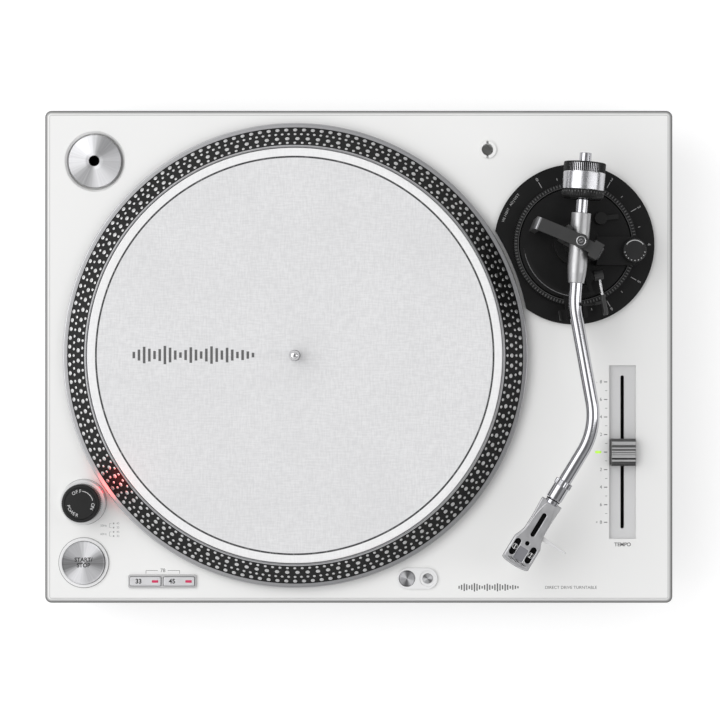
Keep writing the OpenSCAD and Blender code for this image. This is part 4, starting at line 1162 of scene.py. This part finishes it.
def make_headshell():
    holes = [moved_outline(pill_outline(18.7, 3.2), 20.7, 0), moved_outline(circle_outline(1.6, 32), 35.7, 0)]
    side_slots = [moved_outline(pill_outline(12.6, 4.2), SCREW_X, s * SCREW_Y) for s in (-1, 1)]
    low_top, top = 2.6, 3.5
    plate = slab([shell_outline()] + holes + side_slots, SHELL, 0.5, low_top, 0.45, 3)
    # the raised middle, whose edges curve out from the collar to the sides
    arch = rounded_corners(mirrored([(3.2, 2.4), (5, 3.4), (8, 4.3), (12, 5.2), (18, 6.0), (26, 6.4), (31, 7.6),
                                     (35.6, 9.4), (51.0, 9.7)]), radius=2.0)
    dip = moved_outline(rectangle(9.6, 7, 0.5, 3), 44.4, 0)
    raised = slab([arch] + holes + [dip] + side_slots, SHELL, low_top - 0.5, top, 0.4, 3)
    # a dark, slightly wider layer under the plate that darkens the headshell's outline: painted shade on its sides
    wider = [(28 + (x - 28) * 1.012, y * 1.028) for x, y in shell_outline()]
    add_piece("shell_side_shade", slab([wider] + holes + side_slots, SHELL, 0.52, 1.5, 0.1), "headshell",
              cast_metal("shell_side_shade", (0.16, 0.16, 0.165), 0.4, 0.05, metallic=0.7))
    under = [moved_outline(rectangle(21.4, 1.2, 0.3, 3), 13.6, side * 5.9) for side in (-1, 1)]
    under.append(moved_outline(rectangle(1.6, 12, 0.3, 3), 3.7, 0))
    parts = [plate, raised] + [slab([outline], SHELL, -3, 0.9, 0.1) for outline in under]
    add_piece("shell_plate", parts, "headshell", SHELL_SILVER, "headshell", 25)
    collar = rounded_corners([(2.6, 0.7), (5.0, 0.7, 0.4), (5.0, 3.8, 0.6), (2.6, 3.8)])
    add_piece("shell_collar", [lathe(collar, along(SHELL), 64), rod(3.7, -9, 1, along(SHELL))],
              "headshell", CHROME)
    lining = rounded_corners(mirrored([(9, 4.6), (32, 4.6), (36, 8.6), (50, 8.9)]), 3, 0.6)
    add_print("shell_lining", [slab([lining], SHELL, 0.3, 0.48, 0.02),
                               lathe([(4.0, 0.05), (5.15, 0.05), (5.15, 0.65), (4.0, 0.65)], along(SHELL), 48)],
              "headshell", DEEP_BLACK)
    floor = slab([moved_outline(rectangle(9.7, 7.1, 0.3), 44.4, 0)], SHELL, low_top - 0.5, low_top + 0.3, 0.05)
    add_piece("shell_floor", floor, "headshell",
              cast_metal("shell_shaded", (0.27, 0.27, 0.29), 0.42, 0.05, metallic=0.7))
    head = [(0, 1.6), (1.95, 1.6), (2.0, 3.0), (1.75, 3.28), (0, 3.3)]
    add_piece("cartridge_screws", [lathe(head, shifted(SHELL, SCREW_X, s * SCREW_Y), 32) for s in (-1, 1)],
              "headshell", moulded("screw_bright", 0.75, 0.35, 0.00001))
    # black dashes across the screw heads stand for their slots, which are not cut: painted shade
    marks = [dash(0, s * SCREW_Y - 1.5, 0, s * SCREW_Y + 1.5, 0.5, shifted(SHELL, SCREW_X, 0, 3.3)) for s in (-1, 1)]
    row = turned(shifted(SHELL, 50.1, 0, top), math.pi / 2)
    add_print("shell_print_and_slot_shade", marks + bar_row(-7.2, 7.2, 0, 2.0, row, LEVELS[:14], 0.6), "headshell", PRINT_BLACK)


def make_finger_lift():
    outline = rounded_corners([(25.9, 6.2), (29.5, 6.2), (29.2, 9), (28.4, 26.4), (27.8, 27.5), (27.2, 26.4),
                               (26.1, 9)], 3, 0.4)
    add_piece("lift_blade", slab([outline], SHELL, -0.9, 0.5, 0.45, 3), "headshell",
              moulded("lift_bright", 0.62, 0.3, 0.00001), "finger_lift")


def make_height_ring():
    low, high = box("height_ring")
    r = radius_of("height_ring")
    inner = r - 4.1
    z0, z1 = low.z, high.z
    ring = [(inner - 2.6, z0), (r - 0.5, z0), (r - 0.1, z0 + 0.5), (r - 0.1, z1 - 0.6), (r - 0.6, z1 - 0.05),
            (inner + 0.5, z1 - 0.05), (inner + 0.1, z1 - 0.4), (inner + 0.1, z0 + 3.7), (inner - 2.6, z0 + 3.7)]
    add_piece("ring_grip", lathe(ring, upright(ARM), knurl=(180, 0.35, z0 + 0.4, z1 - 0.5)),
              "height_ring", SATIN_BLACK, "height_ring", 25, False)
    face = upright(ARM, z1 - 0.05)
    ticks = [dash(*ray(TAU * k / 120, r - 2.6), *ray(TAU * k / 120, r - 0.7), 0.8, face) for k in range(120)]
    add_print("ring_ticks", ticks, "height_ring", TICK_GREY)
    add_print("ring_line", printed_ring(inner + 0.75, 0.3, face, 128), "height_ring", TICK_GREY)


def make_base_scale():
    face = upright(ARM, top_of("arm_base"))
    marks = []
    for k in range(-2, 13):
        a = math.radians(90 - 15 * k)
        if k % 2:
            marks.append(dash(*ray(a, 47.2), *ray(a, 48.8), 0.4, face))
        else:
            marks += [dash(*ray(a, 46.6), *ray(a, 51.2), 0.4, face),
                      lettering(str((k + 2) // 2), 2.4, turned(shifted(face, *ray(a, 53.3)), a - math.pi / 2))]
    marks += arc_text("HEIGHT ADJUST", 1.7, 53.5, 150, face)
    add_print("height_scale", marks, "cabinet", SCALE_PRINT)


def make_bridge():
    """The slotted, knurled bearing cap on the bridge with painted shade in its slot and groove, and a thin lighter
    layer on the bridge's sloping end as a painted highlight.
    """
    top = top_of("gimbal_yoke")
    cap = [(0, top - 0.9), (3.5, top - 0.9), (3.7, top - 0.6), (3.5, top - 0.15), (2.7, top - 0.02),
           (2.3, top - 0.3), (1.7, top - 0.3), (1.3, top - 0.05), (0, top - 0.05)]
    add_piece("bearing_cap", lathe(cap, upright(ARM), knurl=(30, 0.3, top - 0.7, top - 0.1)),
              "arm_deck", polished("cap_steel", (0.62, 0.62, 0.63), 0.2))
    # black dash for the slot, which is not cut, and black ring on the groove's floor: painted shade in the cap's
    # recesses
    add_print("cap_recess_shade", [dash(-1.2, -0.5, 1.2, 0.5, 0.5, upright(ARM, top - 0.05)),
                           printed_ring(2.0, 0.6, upright(ARM, top - 0.3), 48)], "arm_deck", DEEP_BLACK)
    bar = frame_at((ARM.x, ARM.y, top - 0.5), (*ray(math.radians(157.4)), 0))
    axes = bar.to_3x3()
    slope = frame_at(bar @ Vector((32.5, 0, -1.5)), axes @ Vector((1, 0, -1)), axes @ Vector((1, 0, 1)))
    # a thin lighter metal layer on the bridge's sloping end: a painted highlight
    add_print("bridge_end", slab([rectangle(4.1, 8.8, 0.1)], slope, 0, 0.04, 0.01), "arm_deck",
              cast_metal("bridge_painted_highlight", (0.30, 0.30, 0.31), 0.32, 0.08))


def make_tilt_cap():
    cap = [(0, 15.9), (4.4, 15.9), (4.5, 16.2), (4.5, 17.2), (4.2, 17.58), (2.4, 17.58), (2.2, 17.2), (0, 17.2)]
    add_piece("tilt_cap", lathe(cap, along(TILT_BEARING), knurl=(36, 0.3, 16.1, 17.3)), "gimbal",
              cast_metal("tilt_cap", (0.32, 0.32, 0.33), 0.3, 0.1))


def make_skate_knob():
    low, high = box("anti_skate_knob")
    place = upright(pivot("anti_skate_turn"))
    r, z0, z1 = 8.4, high.z - 7.6, high.z
    profile = [(0, z0), (r - 0.2, z0), (r, z0 + 0.3), (r, z1 - 1.2), (r - 0.5, z1 - 0.7), (r - 1.9, z1 - 0.6),
               (r - 2.4, z1), (0, z1 - 0.05)]
    add_piece("skate_grip", [lathe(profile, place, knurl=(48, 0.35, z0 + 0.2, z1 - 1.0)),
                             rod(3, low.z, z0 + 0.2, place, 32)], "anti_skate_knob",
              moulded("skate_black", 0.014, 0.36, specular=0.3), "anti_skate_knob")
    face = shifted(place, 0, 0, z1 - 0.62)
    marks = [printed_arc(7.15, 35, 145, 0.6, face)]
    for k in range(9):
        x, y = ray(math.radians(190 + 20 * k), 7.1)
        marks.append(dash(x - 0.35, y, x + 0.35, y, 0.7, face))
    add_print("skate_marks", marks, "anti_skate_knob", SCALE_PRINT)


def make_cue_lever():
    lever, turn = pivot("cue_lever_turn"), direction("cue_lever_turn")
    hub_place = along(frame_at(lever, -turn))
    out = Vector((-turn.y, turn.x, 0))
    rod_place = along(frame_at(lever, -out if out.y > 0 else out))
    hub = rounded_corners([(0, -3.7), (3.4, -3.7, 0.5), (3.4, 3.0, 0.5), (0, 3.0)], 3)
    grip = rounded_corners([(0, 14), (1.5, 14, 0.3), (1.8, 15), (2.1, 26.5, 0.4), (1.9, 28, 0.3), (1.2, 28.5, 0.2),
                            (0, 28.5)], 3)
    parts = [lathe(hub, hub_place, 48), rod(1.5, -6.4, -3, hub_place, 24),
             lathe(grip, rod_place, 40)]
    add_piece("cue_grip", parts, "cue_lever", moulded("cue_black", 0.02, 0.3, specular=0.6), "cue_lever")
    add_piece("cue_rod", rod(1.05, 3.1, 14.2, rod_place, 32), "cue_lever", STEEL)


def make_lift_edge():
    set_material(SATIN_BLACK, "lift_platform")
    # a lighter metal arc on part of the platform's top edge: a painted highlight
    edge = printed_arc(38.05, 192, 262, 0.32, upright(ARM, top_of("lift_platform")), 64)
    add_print("lift_edge_highlight", edge, "lift_platform", cast_metal("lift_edge_highlight", (0.42, 0.42, 0.43), 0.3))


TICK_GREY = ink("tick_grey", 0.085)
SCALE_PRINT = ink("scale_print", 0.42)

for make in (make_arm_tube, make_housing, make_counterweight, make_nut, make_headshell, make_finger_lift,
             make_height_ring, make_base_scale, make_bridge, make_tilt_cap, make_skate_knob, make_cue_lever,
             make_lift_edge):
    make()


# ------------------------------------------------------------ feet

FOOT_GREY = moulded("foot_dark_grey", 0.05, 0.5, 0.00005, 1800)


def make_feet():
    """Feet with a ribbed grip and a rubber pad."""
    for k in range(1, 5):
        node = "foot_%d" % k
        low, high = box(node)
        place = upright((low + high) / 2)
        r, z = radius_of(node), low.z
        profile = [(0, z + 3.5), (r - 0.5, z + 3.5), (r, z + 4), (r, z + 11.6), (r - 1.5, z + 13.5), (22, z + 14.5),
                   (20.5, z + 16), (20.5, high.z), (5.1, high.z), (5.1, z + 8.7), (0, z + 8.7)]
        add_piece("foot_grip_%d" % k, lathe(profile, place, knurl=(36, 0.8, z + 3.4, z + 12)), node,
                  FOOT_GREY, node, 25)
        pads = [lathe([(19, z), (r - 2.5, z), (r - 2.5, z + 3.6), (19, z + 3.6)], place, 96),
                rod(15, z, z + 3.6, place, 64)]
        add_piece("foot_pad_%d" % k, pads, node, RUBBER)


make_feet()
